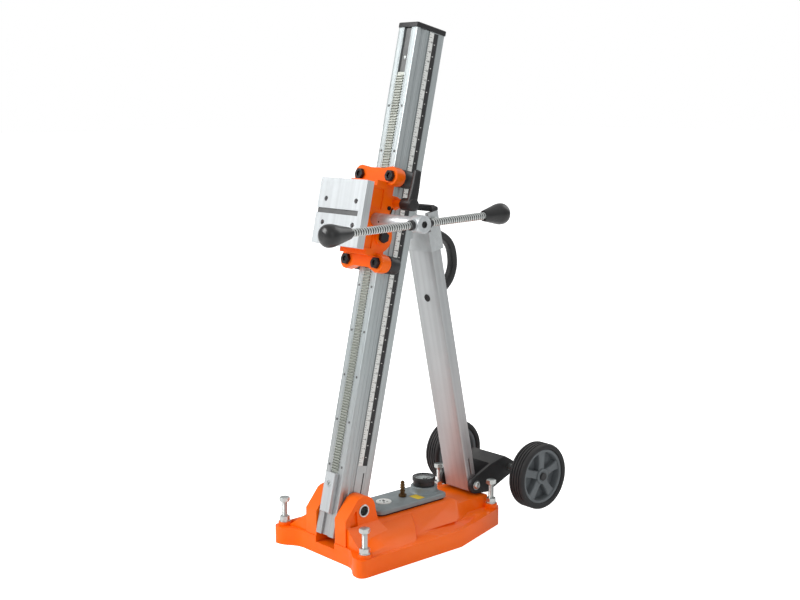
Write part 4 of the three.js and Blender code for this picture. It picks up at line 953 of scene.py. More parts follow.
@dataclass(frozen=True)
class Moulded(Finish):
    """Moulded plastic or rubber: a spark-eroded grain, paler scuffed edges and a little dust."""

    grain_size: float = 500.0
    relief: float = 0.0002
    scuff: float = 0.3
    dusty: float = 0.15
    coat: float = 0.0

    def build(self) -> None:
        """Grain bends the normal; scuffs and dust pale the colour and dull the gloss."""
        graph, shader = self.start()
        where = graph.place()
        grain = graph.use(grain_group(), Vector=where, Broad=25.0, Fine=self.grain_size)
        wear = graph.use(edge_wear_group(), Vector=where, Scale=90.0, Amount=self.scuff)
        dust = graph.use(dust_group(), Vector=where, Amount=self.dusty)
        pale = self.shade(2.2, 0.04, 0.9)
        base = graph.mix(graph.math("MULTIPLY", grain.outputs["Cloud"], 0.25), self.tone, pale)
        base = graph.mix(wear.outputs["Mask"], base, pale)
        base = graph.mix(dust.outputs["Mask"], base, colour(170, 166, 160))
        graph.feed(shader, "Base Color", base)
        rough = graph.math("ADD", self.rough, graph.math("MULTIPLY", grain.outputs["Cloud"], 0.1))
        dull = graph.math("MULTIPLY", dust.outputs["Mask"], 0.4)
        graph.feed(shader, "Roughness", graph.math("ADD", rough, dull))
        if self.coat > 0.0:
            shader.inputs["Coat Weight"].default_value = self.coat
            shader.inputs["Coat Roughness"].default_value = 0.1
        graph.feed(shader, "Normal", graph.bump(grain.outputs["Grain"], 0.25, self.relief))


@dataclass(frozen=True)
class ClearLens(Finish):
    """A clear moulded gauge lens with the faintest ripple."""

    def build(self) -> None:
        """Glass whose roughness and height follow the same noise."""
        graph, shader = self.start()
        where = graph.place()
        smear = graph.noise(where, 60.0, 3.0)
        shader.inputs["Base Color"].default_value = self.tone
        shader.inputs["Transmission Weight"].default_value = 1.0
        shader.inputs["IOR"].default_value = 1.2
        graph.feed(shader, "Roughness", graph.ramp(smear, 0.3, 0.7, self.rough, self.rough + 0.03))
        graph.feed(shader, "Normal", graph.bump(smear, 0.05, 0.0002))


ORANGE = GlossPaint("gloss_orange", colour(255, 110, 0), 0.34, deep=colour(248, 84, 0), coat=0.16)
# The last number of each anodised finish is how strongly its low part shows a painted reflection of the
# orange base.
COLUMN_METAL = DrawnMetal("anodised_column", colour(184, 191, 192), 0.36, 0.8, Run.COLUMN, 0.6, 0.12)
STRUT_METAL = DrawnMetal("anodised_strut", colour(188, 191, 192), 0.42, 0.75, Run.STRUT, 0.35, 0.18)
PLATE_METAL = DrawnMetal("milled_plate", colour(202, 206, 208), 0.45, 0.6, Run.COLUMN, 0.3)
HEAD_METAL = CastMetal("cast_head", colour(196, 200, 201), 0.5, 0.7, 1100.0)
POLISHED = DrawnMetal("polished_sleeve", colour(206, 208, 210), 0.38, 0.65, Run.UPRIGHT, 0.2)
ZINC = CastMetal("zinc_plate", colour(208, 212, 210), 0.26, 1.0, 1500.0, 0.00008)
GEAR_STEEL = CastMetal("cut_steel", colour(176, 179, 172), 0.42, 0.95, 900.0)
KEY_STEEL = CastMetal("dark_key", colour(104, 105, 105), 0.4, 0.8, 900.0)
DARK_STEEL = CastMetal("blackened_steel", colour(46, 45, 46), 0.42, 0.6, 700.0)
FRAME_BLACK = Moulded("satin_black_frame", colour(22, 22, 24), 0.4, 420.0, 0.00025, 0.25, 0.2)
GLOSS_BLACK = Moulded("gloss_black_knob", colour(5, 6, 7), 0.26, 300.0, 0.00006, 0.05, 0.0, 0.3)
BLACK = Moulded("grained_black", colour(20, 20, 22), 0.38, 650.0)
ROLLER = Moulded("roller_plastic", colour(26, 26, 28), 0.34, 500.0)
GREY_RIM = Moulded("grey_rim", colour(92, 97, 100), 0.5, 600.0)
TYRE = Moulded("tyre_rubber", colour(24, 24, 26), 0.62, 380.0, 0.0004, 0.3, 0.25)
SEAL = Moulded("seal_rubber", colour(24, 24, 25), 0.75, 300.0)
GREY_PAINT = CastMetal("grey_enamel", colour(140, 149, 151), 0.4, 0.25, 1100.0)
BRASS = CastMetal("dull_brass", colour(98, 74, 46), 0.35, 0.9, 900.0)
WHITE = Moulded("white_print", colour(226, 228, 224), 0.45, 800.0, 0.00005, 0.0, 0.02)
DIAL = Moulded("pale_dial", colour(206, 214, 212), 0.5, 800.0, 0.00003, 0.0, 0.0)
INK = Moulded("dark_ink", colour(30, 30, 32), 0.5, 800.0, 0.00003, 0.0, 0.0)
YELLOW = Moulded("yellow_sticker", colour(226, 182, 40), 0.45, 800.0, 0.00003, 0.0, 0.02)
LENS = ClearLens("lens_glass", (0.96, 0.98, 0.98, 1.0), 0.02)


class Where(Enum):
    """A choice of place on the rig."""

    @property
    def word(self) -> str:
        """The place's name in lower case, as the names of bodies and pieces say it."""
        return self.name.lower()


class Side(Where):
    """Which side of the rig a piece is on, as a sign along X."""

    LEFT = -1
    RIGHT = 1


class Level(Where):
    """Which pair of guide rollers a piece belongs to, as a sign along the column."""

    LOWER = -1
    UPPER = 1


class End(Where):
    """Which end of the base a levelling screw is at."""

    FRONT = "tool side"
    REAR = "wheel side"


# ---- base ---------------------------------------------------------------------------------------
@dataclass(frozen=True)
class LevellingScrew:
    """A zinc levelling screw with its lock nut in a corner of the base."""

    end: End
    side: Side
    x: float
    y: float
    boss: float
    standout: float = 54.0
    corner: float = 11.5
    head: float = 8.0
    nut: float = 12.0
    shank: float = 6.0
    pitch: float = 1.75
    groove: float = 0.6

    def screw(self) -> Surface:
        """A threaded shank below a flange and a chamfered head.

        Returns:
            The surface in the rig's frame.
        """
        top = self.boss + self.standout
        shank = threaded(self.shank, 1.2, top - self.head + 0.5, self.pitch, self.groove)
        flange = turned([(0, 0), (self.corner * 0.9, 0), (self.corner * 0.9, 1.2), (0, 1.2)], 48)
        head = hex_head(self.corner, self.head).moved(z=top - self.head)
        return together(shank, flange.moved(z=top - self.head - 1.2), head).moved(self.x, self.y)

    def lock_nut(self) -> Surface:
        """A chamfered nut on a washer, both bored for the shank.

        Returns:
            The surface in the rig's frame.
        """
        bore = self.shank + 0.3
        ring = turned([(bore, 0), (self.corner, 0), (self.corner, 1.8), (bore, 1.8)], 48, closed=True)
        angle = round_angles(HEX_STEPS)
        edge = hexagon(self.corner, angle) * 0.96
        levels = [(1.9, 0.93), (2.6, 1.0), (self.nut - 0.8, 1.0), (self.nut, 0.93)]
        outer = np.stack([np.minimum(edge, self.corner * share * 0.96) for _, share in levels])
        inner = np.full((2, HEX_STEPS), bore)
        radii = np.vstack([outer, inner])
        z = np.array([h for h, _ in levels] + [self.nut, 1.9])[:, None] + 0 * radii
        nut = carried(np.stack([radii * np.cos(angle), radii * np.sin(angle), z], -1), wrap=True)
        return together(ring, nut).moved(self.x, self.y, self.boss + 0.3)

    def build(self) -> None:
        """Makes the screw and its nut."""
        tail, zinc = f"{self.end.word}_{self.side.word}", ZINC.material()
        body, solid = f"screw_{tail}", f"levelling_screw_{tail}"
        make_piece(f"screw_{tail}", self.screw(), zinc, body, (solid,))
        make_piece(f"nut_{tail}", self.lock_nut(), zinc, "base", (f"lock_nut_{tail}",))


@dataclass(frozen=True)
class Base:
    """The orange casting with its pivot tube, seal and levelling screws."""

    edge: float = 2.6
    pivot_z: float = 105.0
    tube_radius: float = 13.5
    tube_bore: float = 10.0
    tube_end: float = 67.5
    flank_edge: float = 3.0
    screws: tuple[tuple[End, float, float, float], ...] = (
        (End.FRONT, 134.0, -56.0, 45.0),
        (End.REAR, 85.0, 357.0, 49.0),
    )

    def pivot_tube(self) -> Surface:
        """A bored tube with rolled rims that stand out at both lugs.

        Returns:
            The surface in the rig's frame.
        """
        e, r, b = self.tube_end, self.tube_radius, self.tube_bore
        near = [(b, 0.0), (b, e - 1.0), (b + 0.8, e), (r - 0.8, e), (r, e - 0.8)]
        far = [(r, 0.0), (r, -(e - 0.8)), (r - 0.8, -e), (b + 0.8, -e), (b, -(e - 1.0))]
        profile = far + near
        return turned(profile, 64, closed=True).placed(ALONG_X.at(0.0, 0.0, self.pivot_z))

    def flank(self, side: Side) -> Surface:
        """The swollen front of a flank: four sections carried back from the screw's boss, cut off aslant.

        Each section is foot, ridge, shoulder and root, as (x, y, z).

        Args:
            side: the side of the rig.

        Returns:
            The surface in the rig's frame.
        """
        sections = np.array([
            [(145.5, -46, 32), (139, -43, 43.5), (100, -30, 46), (100, -30, 30)],
            [(147.8, 0, 32), (132, 0, 46), (70, 8, 64), (70, 8, 30)],
            [(147.8, 48, 32), (119, 55, 50.5), (60, 80, 68), (60, 80, 30)],
            [(139, 84, 32), (98, 116, 57), (58, 140, 68.5), (58, 140, 30)],
        ], float)
        return carried(sections * np.array([float(side.value), 1.0, 1.0]))

    def build(self) -> None:
        """Dresses the casting and makes its small pieces."""
        orange = ORANGE.material()
        for side in Side:
            name, shape = f"flank_{side.word}", self.flank(side)
            make_piece(name, shape, orange, "base", (), self.flank_edge)
        dress_solid("base_casting", orange, self.edge)
        dress_solid("base_seal", SEAL.material())
        make_piece("pivot_bush", self.pivot_tube(), ZINC.material(), "base", ("pivot_tube",))
        for end, x, y, boss in self.screws:
            for side in Side:
                LevellingScrew(end, side, side.value * x, y, boss).build()


@dataclass(frozen=True)
class VacuumCover:
    """The grey vacuum cover with its gauge, hose nipple, vent valve and gasket."""

    front: float = 62.0
    length: float = 200.0
    half_width: float = 45.0
    corner: float = 14.0
    bottom: float = 74.0
    top: float = 84.0
    valve_y: float = 111.0
    nipple_y: float = 166.0
    gauge_y: float = 230.0
    valve_radius: float = 17.2
    gauge_base: float = 97.9
    gauge_radius: float = 26.0
    dial_radius: float = 23.2
    marks: int = 31
    mound_radius: float = 33.0

    def slab(self) -> Surface:
        """A round-cornered plate with a rolled upper edge, and a mound that flares into it.

        Returns:
            The surface in the rig's frame.
        """
        rise = [(0.0, 0.6), (0.6, 0.0), (7.4, 0.0), (8.6, 0.5), (9.5, 1.5), (10.0, 3.0)]
        half_y = self.length / 2
        rings = [round_rect(self.half_width - i, half_y - i, self.corner - i * 0.8) for _, i in rise]
        plate = lofted(rings, [self.bottom + h for h, _ in rise]).moved(y=self.front + half_y)
        flare = np.linspace(0, 1, 9)
        radius = self.mound_radius - 3.4 * np.sin(flare * math.pi / 2)
        foot, crown = [(0.0, -1.0), (self.mound_radius, -1.0)], [(29.0, 13.6), (0.0, 13.6)]
        mound = turned(foot + list(zip(radius, 12.8 * flare**2)) + crown).moved(y=self.gauge_y, z=self.top)
        return together(plate, mound)

    def gauge_case(self) -> Surface:
        """A turned case with a groove below its rolled bezel and a sunk dial seat.

        Returns:
            The surface in the rig's frame.
        """
        r, base = self.gauge_radius, self.gauge_base
        case = [(0, 0), (r - 2.2, 0), (r - 2, 0.6), (r - 2, 10.4)]
        bezel = [(r - 0.6, 11.4), (r, 12.0), (r, 18.8), (r - 0.5, 19.8), (r - 1.4, 20.2), (r - 2.2, 19.8)]
        seat = [(r - 2.6, 18.8), (r - 2.6, 12.1), (0, 12.1)]
        return turned(case + bezel + seat, 72).moved(y=self.gauge_y, z=base)

    def dial(self) -> Surface:
        """The pale dial disc.

        Returns:
            The surface in the rig's frame.
        """
        r = self.dial_radius
        disc = turned([(0, 0), (r - 0.2, 0), (r, 0.2), (r - 0.2, 0.4), (0, 0.4)], 72)
        return disc.moved(y=self.gauge_y, z=self.gauge_base + 12.15)

    def dial_marks(self) -> Surface:
        """Marks round the dial: thin boxes turned by equal steps over three quarters of a turn.

        Returns:
            The surface in the rig's frame.
        """
        angle = np.linspace(-0.75 * math.pi, 0.75 * math.pi, self.marks) + math.pi / 2
        long = np.arange(self.marks) % 5 == 0
        shape = boxes(np.zeros((self.marks, 3)), (1.0, 0.16, 0.06))
        flat = shape.points.reshape(self.marks, 8, 3)
        flat[..., 0] = flat[..., 0] * np.where(long, 2.2, 1.2)[:, None] + 19.0
        flat[..., 1] *= np.where(long, 2.0, 1.2)[:, None]
        c, s = np.cos(angle)[:, None], np.sin(angle)[:, None]
        x = flat[..., 0] * c - flat[..., 1] * s
        y = flat[..., 0] * s + flat[..., 1] * c
        points = np.stack([x, y, flat[..., 2]], -1).reshape(-1, 3)
        return Surface(points, shape.faces).moved(y=self.gauge_y, z=self.gauge_base + 12.65)

    def needle(self) -> Surface:
        """A tapered needle with a short tail on a domed cap.

        Returns:
            The surface in the rig's frame.
        """
        z = self.gauge_base + 13.2
        outline = np.array([(-1.1, -5.0), (1.1, -5.0), (0.9, 0.0), (0.3, 17.8), (-0.3, 17.8), (-0.9, 0.0)])
        blade = drawn(outline, [0.0, 0.7]).moved(y=self.gauge_y, z=z)
        cap = turned([(0, -4.0), (1.2, -4.0), (1.2, -0.3), (2.8, -0.3), (2.7, 1.2), (1.8, 1.8), (0, 2.0)], 32)
        return together(blade, cap.moved(y=self.gauge_y, z=z))

    def lens(self) -> Surface:
        """A thin lens, slightly domed on top.

        Returns:
            The surface in the rig's frame.
        """
        r = np.linspace(1, 0, 10)
        dome = list(zip(self.dial_radius * r, 1.1 + 0.9 * (1 - r**2)))
        profile = [(0, 0), (self.dial_radius, 0)] + dome
        return turned(profile, 64).moved(y=self.gauge_y, z=self.gauge_base + 17.7)

    def nipple(self) -> Surface:
        """A hexagon foot, a neck and three barbs that each widen and drop back.

        Returns:
            The surface in the rig's frame.
        """
        neck = [(2.5, 0.3), (6.5, 0.3), (6.5, 6.2), (5.0, 6.2), (5.0, 13.0), (6.0, 13.6), (6.0, 15.4)]
        barbs = [(4.2, 16.4), (4.2, 19.0), (5.9, 20.2), (4.1, 24.6), (5.7, 25.8), (3.9, 30.2), (4.9, 31.4)]
        stem = turned(neck + barbs + [(3.4, 35.6), (2.6, 36.0), (2.5, 35.6)], 40, closed=True)
        foot = hex_head(9.0, 6.2, chamfer_low=True)
        return together(stem, foot.moved(z=0.3)).moved(y=self.nipple_y, z=self.top)

    def valve(self) -> Surface:
        """A white disc with a rolled rim and a raised middle boss.

        Returns:
            The surface in the rig's frame.
        """
        r = self.valve_radius
        rim = [(0, 0), (r - 0.3, 0), (r, 0.3), (r, 4.2), (r - 0.8, 5.0)]
        face = [(11.5, 5.0), (11.0, 4.5), (5.2, 4.5), (4.6, 5.0), (0, 5.0)]
        return turned(rim + face, 64).moved(y=self.valve_y, z=self.top - 2.7)

    def valve_hole_shadows_and_screw(self) -> Surface:
        """Painted shade in four finger holes, and the centre screw, as low dark discs on the valve.

        Returns:
            The surface in the rig's frame.
        """
        hole = turned([(0, 0), (2.1, 0), (2.1, 0.12), (0, 0.12)], 32).moved(z=self.top + 1.78)
        star = turned([(0, 0), (3.4, 0), (3.4, 0.15), (0, 0.15)], 32).moved(z=self.top + 2.25)
        holes = [hole.moved(side * 6.5, way * side * 4.6) for way in (1, -1) for side in (-1, 1)]
        return together(*holes, star).moved(y=self.valve_y)

    def sticker(self) -> Surface:
        """A plain yellow patch beside the nipple, thin as a sticker."""
        patch = drawn(round_rect(15.0, 10.0, 1.0, 4), [0.0, 0.25])
        return patch.moved(x=23.0, y=188.0, z=self.top + 0.02)

    def build(self) -> None:
        """Makes the cover and everything on it."""
        black, ink = BLACK.material(), INK.material()
        make_piece("grey_cover", self.slab(), GREY_PAINT.material(), "base", ("vacuum_cover",))
        dress_solid("cover_gasket", SEAL.material(), 0.5)
        make_piece("gauge_housing", self.gauge_case(), black, "base", ("gauge_case",))
        make_piece("gauge_dial", self.dial(), DIAL.material(), "base")
        make_piece("gauge_marks", self.dial_marks(), ink, "base")
        make_piece("gauge_pointer", self.needle(), ink, "needle", ("gauge_needle",))
        make_piece("gauge_glass", self.lens(), LENS.material(), "base", ("gauge_lens",))
        make_piece("barbed_nipple", self.nipple(), BRASS.material(), "base", ("hose_nipple",))
        make_piece("vent_disc", self.valve(), WHITE.material(), "valve", ("vent_valve",))
        # Dark discs paint the shade in the valve's finger holes; the middle disc is the screw.
        make_piece("vent_hole_shadows_and_screw", self.valve_hole_shadows_and_screw(), ink, "valve")
        make_piece("plain_sticker", self.sticker(), YELLOW.material(), "base")


# ---- column -------------------------------------------------------------------------------------
@dataclass(frozen=True)
class Column:
    """The rack column: extrusion, cap, scales, rack, stop and its small screws."""

    half_width: float = 28.5
    depth: float = 80.0
    length: float = 1072.0
    rack_half: float = 11.0
    rack_depth: float = 5.0
    tape_start: float = 154.0
    tape_end: float = 1070.0
    tape_front: float = 36.5
    screw_spacing: float = 95.0
    rack_end: float = 978.0
    cap_lip: float = 2.0
    cap_edge: float = 0.4
    first_screws: float = 147.0
    channel_screw: float = 1010.0
    edge_screws: tuple[float, float] = (534.0, 541.0)
    slot_at: tuple[float, float] = (56.0, 116.0)
    figure_size: float = 5.6

    def section(self) -> Array:
        """Half the outline as (x, depth), mirrored: rail, roller groove, rib, tape lands and rear slot.

        Each fine line is a V as deep as it is half wide, cut at a stated place along its land.

        Returns:
            The outline's points.
        """
        w = self.half_width
        front = [(self.rack_half, self.rack_depth), (self.rack_half, 0.5), (self.rack_half + 0.5, 0.0)]
        for x in (13.6, 15.2, 25.2):
            front += [(x - 0.35, 0.0), (x, 0.4), (x + 0.35, 0.0)]
        side = [(w - 1.2, 0.0), (w - 0.35, 0.35), (w, 1.2), (w, 9.4), (w - 0.6, 10.2), (w - 2.6, 11.6)]
        side += [(w - 3.0, 12.4), (w - 3.0, 15.0), (w - 3.5, 15.3), (w - 3.5, 16.2), (w - 3.0, 16.5)]
        side += [(w - 3.0, 22.6), (w - 2.4, 23.6), (w - 0.4, 24.8), (w, 25.4)]
        for v in (27.0, 28.6, 30.2, 31.8):
            side += [(w, v - 0.35), (w - 0.45, v), (w, v + 0.35)]
        side += [(w, 32.9), (w - 1.5, 33.3), (w - 1.5, 35.6), (w, 36.0), (w, 61.2), (w - 0.6, 61.6)]
        side += [(w - 0.6, 62.2), (w, 62.6), (w, 76.6), (w - 0.9, 79.1), (w - 3.4, 80.0)]
        rear = [(17.5, 80.0), (17.0, 79.4), (16.5, 80.0), (6.4, 80.0), (6.0, 79.6)]
        slot = [(6.0, 74.0), (11.0, 74.0), (11.0, 66.0)]
        half = np.array(front + side + rear + slot)
        other = half[::-1] * np.array([-1.0, 1.0])
        return np.vstack([half, other])

    def extrusion(self) -> Surface:
        """The section drawn along the column."""
        return drawn(self.section(), [0.0, 0.5 * self.length, self.length]).placed(COLUMN)

    def cap(self) -> Surface:
        """A plastic cap, arched from front to rear: a ring's height falls with the square of y.

        Returns:
            The surface in the rig's frame.
        """
        rise = [(0.0, 0.6), (0.6, 0.0), (9.4, 0.0), (10.8, 0.6), (11.6, 1.9), (12.0, 4.0)]
        half_depth, lip = self.depth / 2, self.cap_lip
        rings = []
        for height, inset in rise:
            flat = round_rect(self.half_width + lip - inset, half_depth + lip - inset, 4.0 - 0.3 * inset)
            arch = 0.0 if height < 8.0 else 1.0
            drop = arch * (height - 8.0) * (np.abs(flat[:, 1]) / (half_depth + lip)) ** 2 * 0.35
            rings.append(np.column_stack([flat[:, 0], flat[:, 1] + half_depth, height - drop]))
        return carried(np.stack(rings)).moved(z=self.length + 0.3).placed(COLUMN)

    def ticks(self) -> Surface:
        """Scale marks: a short thin box each 5 mm, a longer one each 10 mm and each 50 mm.

        Returns:
            The surface in the rig's frame.
        """
        along = np.arange(self.tape_start + 6.0, self.tape_end - 3.0, 5.0)
        step = np.round((along - self.tape_start - 6.0) / 5.0).astype(int)
        reach = np.where(step % 10 == 0, 3.4, np.where(step % 2 == 0, 2.2, 1.2))
        shape = boxes(np.zeros((len(along), 3)), (0.04, 1.0, 0.35))
        points = shape.points.reshape(-1, 8, 3).copy()
        points[..., 1] *= reach[:, None]
        side = np.full_like(reach, self.half_width + 0.94)
        points += np.stack([side, self.tape_front + 0.6 + reach, along], -1)[:, None]
        return Surface(points.reshape(-1, 3), shape.faces).placed(COLUMN)

    def dots(self) -> Surface:
        """Pale marks each 25 mm along the black tape.

        Returns:
            The surface in the rig's frame.
        """
        along = np.arange(self.tape_start + 18.0, self.tape_end - 8.0, 25.0)
        side = np.full_like(along, self.half_width + 0.94)
        across = np.full_like(along, self.tape_front + 17.0)
        return boxes(np.column_stack([side, across, along]), (0.04, 1.6, 0.7)).placed(COLUMN)

    def numbers(self) -> None:
        """Makes the figures on the white tape: one each 20 mm, counted in centimetres."""
        parts: list[Surface] = []
        curve = bpy.data.curves.new("figures", "FONT")
        curve.align_x = "CENTER"
        curve.align_y = "CENTER"
        curve.size = self.figure_size
        curve.extrude = 0.03
        figure = bpy.data.objects.new("figures", curve)
        bpy.context.scene.collection.objects.link(figure)
        for count, along in enumerate(np.arange(self.tape_start + 16.0, self.tape_end - 8.0, 20.0)):
            curve.body = str(2 * count + 2)
            bpy.context.view_layer.update()
            solved = figure.evaluated_get(bpy.context.evaluated_depsgraph_get())
            mesh = bpy.data.meshes.new_from_object(solved)
            points = np.empty(len(mesh.vertices) * 3)
            mesh.vertices.foreach_get("co", points)
            points = points.reshape(-1, 3)
            place = np.column_stack([points[:, 2] + self.half_width + 0.95, points[:, 0], points[:, 1]])
            place += np.array([0.0, self.tape_front + 8.6, along])
            corners = [np.array([list(p.vertices)]) for p in mesh.polygons]
            parts.append(Surface(place, tuple(corners)))
            bpy.data.meshes.remove(mesh)
        bpy.data.objects.remove(figure)
        shape = together(*parts).placed(COLUMN)
        make_piece("scale_figures", shape, INK.material(), "column")

    def face_screws(self) -> Surface:
        """Small screws in pairs beside the rack: low domes with a sunk middle.

        Returns:
            The surface in the rig's frame.
        """
        along = np.arange(self.first_screws, 1000.0, self.screw_spacing)
        dome = [(0, 0), (2.7, 0), (2.7, 0.35), (2.2, 0.8), (1.2, 1.05), (0.9, 0.7), (0, 0.7)]
        head = turned(dome, 20).placed(BACK_Y)
        return together(*[head.moved(x, 0.0, t) for t in along for x in (-20.0, 20.0)]).placed(COLUMN)

    def slot_shadow(self) -> Surface:
        """The narrow slot low on the right side, as a thin dark inlay."""
        inlay = drawn(round_rect(1.4, 22.5, 1.3, 6), [-0.6, 0.12])
        return inlay.placed(ALONG_X.at(self.half_width, *self.slot_at)).placed(COLUMN)

    def cap_screws(self) -> Surface:
        """The screw in the plain channel above the rack and the two on the rear edge.

        Returns:
            The surface in the rig's frame.
        """
        button = turned([(0, 0), (4.3, 0), (4.3, 1.2), (3.3, 2.2), (2.0, 2.5), (1.7, 1.2), (0, 1.2)], 32)
        channel = button.placed(BACK_Y.at(0.0, self.rack_depth, self.channel_screw))
        small = turned([(0, 0), (1.7, 0), (1.5, 0.7), (0, 0.8)], 20)
        edge = [small.placed(ALONG_X.at(self.half_width, 72.0, t)) for t in self.edge_screws]
        return together(channel, *edge).placed(COLUMN)

    def channel_floor(self) -> Surface:
        """The dull floor of the plain channel above the rack, as a thin strip.

        Returns:
            The surface in the rig's frame.
        """
        middle = np.array([[0.0, self.rack_depth - 0.25, 0.5 * (self.rack_end + self.length)]])
        half_length = 0.5 * (self.length - self.rack_end) - 0.5
        return boxes(middle, (self.rack_half - 0.1, 0.2, half_length)).placed(COLUMN)

    def stop_screw(self) -> Surface:
        """A socket head screw sunk in the stop block.

        Returns:
            The surface in the rig's frame.
        """
        ring = turned([(0, 0), (5.8, 0), (5.8, 3.4), (5.4, 4.0), (3.3, 4.0), (3.3, 1.8), (0, 1.8)], 40)
        shank = turned([(0, -15.0), (3.0, -15.0), (3.0, 0.2), (0, 0.2)], 24)
        return together(ring, shank).placed(BACK_Y.at(0.0, -6.4, 108.7)).placed(COLUMN)

    def build(self) -> None:
        """Makes the column's pieces and dresses its solids."""
        metal, ink, zinc = COLUMN_METAL.material(), INK.material(), ZINC.material()
        shape, aluminium = self.extrusion(), "anodised_aluminium"
        make_piece("column_extrusion", shape, metal, "column", ("column_profile",))
        black, edge = BLACK.material(), self.cap_edge
        make_piece("arched_cap", self.cap(), black, "column", ("column_cap",), edge)
        dress_solid("toothed_rack", GEAR_STEEL.material())
        dress_solid("scale_tape", WHITE.material())
        dress_solid("mark_tape", ink)
        dress_solid("lower_stop", PLATE_METAL.material(), 0.7)
        make_piece("scale_ticks", self.ticks(), ink, "column")
        make_piece("scale_dots", self.dots(), WHITE.material(), "column")
        self.numbers()
        dull = KEY_STEEL.material()
        make_piece("channel_floor", self.channel_floor(), dull, "column")
        make_piece("face_screws", self.face_screws(), dull, "column")
        make_piece("slot_shadow", self.slot_shadow(), ink, "column")
        make_piece("channel_screws", self.cap_screws(), zinc, "column")
        make_piece("stop_cap_screw", self.stop_screw(), zinc, "column", ("stop_screw",))


# ---- carriage -----------------------------------------------------------------------------------
@dataclass(frozen=True)
class Carriage:
    """The orange carriage on its four guide rollers, with the tool plate and gear train."""

    along: float = 667.0
    guide_x: float = 47.5
    guide_offset: float = 90.0
    bar_front: float = -22.0
    plate_front: float = -102.6
    plate_holes: tuple[float, float] = (48.0, 24.5)
    roller_radius: float = 18.6
    head_corner: float = 12.4
    head_height: float = 7.3

    def guide_bolt(self) -> Surface:
        """A chamfered hexagon with a socket, its shank and a retaining washer behind.

        Returns:
            The surface in a frame on the guide's own axis.
        """
        head = hex_head(self.head_corner, self.head_height, socket=6.0)
        head = head.placed(BACK_Y.at(0.0, self.bar_front - 0.3, 0.0))
        rod = turned([(0, 0), (6.0, 0), (6.0, 57.0), (5.2, 57.8), (0, 57.8)], 32)
        shank = rod.placed(ALONG_Y.at(0.0, self.bar_front - 0.5, 0.0))
        keeper = turned([(0, 33.7), (8.9, 33.7), (8.9, 36.6), (8.4, 37.2), (0, 37.2)], 40).placed(ALONG_Y)
        return together(head, shank, keeper)

    def guide_roller(self) -> Surface:
        """A bored roller with round shoulders and a shallow face recess.

        Returns:
            The surface in a frame on the guide's own axis.
        """
        r = self.roller_radius
        front = [(6.3, 3.4), (r - 4.2, 3.4), (r - 3.0, 3.8), (r - 0.6, 5.4), (r, 6.6)]
        rear = [(r, 27.5), (r - 0.9, 29.4), (r - 3.2, 31.6), (r - 5.0, 33.0), (12.0, 33.2)]
        recess = [(11.4, 32.4), (9.6, 32.4), (9.2, 33.2), (6.3, 33.2)]
        return turned(front + rear + recess, 56, closed=True).placed(ALONG_Y)

    def guide(self, level: Level, side: Side) -> None:
        """Makes one guide: its bolt stays on the carriage and its roller turns.

        Args:
            level: the lower or the upper pair.
            side: the side of the column.
        """
        tail = f"{level.word}_{side.word}"
        x, z = side.value * self.guide_x, self.along + level.value * self.guide_offset
        bolt = self.guide_bolt().moved(x, 0.0, z).placed(COLUMN)
        roller = self.guide_roller().moved(x, 0.0, z).placed(COLUMN)
        dark, plastic = DARK_STEEL.material(), ROLLER.material()
        make_piece(f"bolt_{tail}", bolt, dark, "carriage", (f"guide_bolt_{tail}",))
        name, solids = f"roller_{tail}", (f"guide_roller_{tail}",)
        make_piece(name, roller, plastic, name, solids)

    def countersink_shade_and_screw(self) -> Surface:
        """Painted shade in the countersinks round the four plate holes, as dark rings, and the socket screw
        at the keyway's end.

        Returns:
            The surface in the column's frame.
        """
        ring = turned([(4.35, 0.6), (4.6, 0.0), (5.2, 0.0), (5.2, 0.12), (4.5, 0.12)], 40, closed=True)
        x, z = self.plate_holes
        corners = [(x * across, z * up) for across in (-1, 1) for up in (-1, 1)]
        rings = [ring.placed(BACK_Y.at(a, self.plate_front, self.along + b)) for a, b in corners]
        screw = hex_head(4.4, 1.6, socket=2.4).placed(BACK_Y.at(51.5, self.plate_front + 4.8, self.along))
        return together(*rings, screw)

    def key_strip(self) -> Surface:
        """The dark key that lies in the plate's keyway."""
        centre = np.array([[-8.0, self.plate_front + 4.0, self.along]])
        return boxes(centre, (65.0, 0.9, 5.0))

    def small_bolts(self) -> Surface:
        """The dark bolt on the lower bar's upper edge and the set screw beside the clamp.

        Returns:
            The surface in the column's frame.
        """
        set_screw = hex_head(4.6, 3.2, socket=2.2)
        lower = set_screw.placed(BACK_Y.at(6.0, self.bar_front, 594.0))
        boss = set_screw.placed(ALONG_X.at(42.0, -8.0, 692.0))
        return together(lower, boss)

    def build(self) -> None:
        """Makes the carriage's bolts and rollers and dresses its solids."""
        dress_solid("carriage_body", ORANGE.material(), 1.6)
        dress_solid("tool_plate", PLATE_METAL.material(), 0.8)
        dark, key = DARK_STEEL.material(), self.key_strip().placed(COLUMN)
        # Dark rings paint the shade in the plate's countersinks; the socket screw is really dark.
        make_piece("shaded_countersinks_and_screw", self.countersink_shade_and_screw().placed(COLUMN), dark, "carriage")
        make_piece("key_strip", key, KEY_STEEL.material(), "carriage", (), 0.3)
        make_piece("set_screws", self.small_bolts().placed(COLUMN), dark, "carriage")
        for level in Level:
            for side in Side:
                self.guide(level, side)
        dress_solid("pinion_shaft", dark, 0.4)
        dress_solid("reduction_gear", GEAR_STEEL.material())
        dress_solid("spindle", GEAR_STEEL.material())


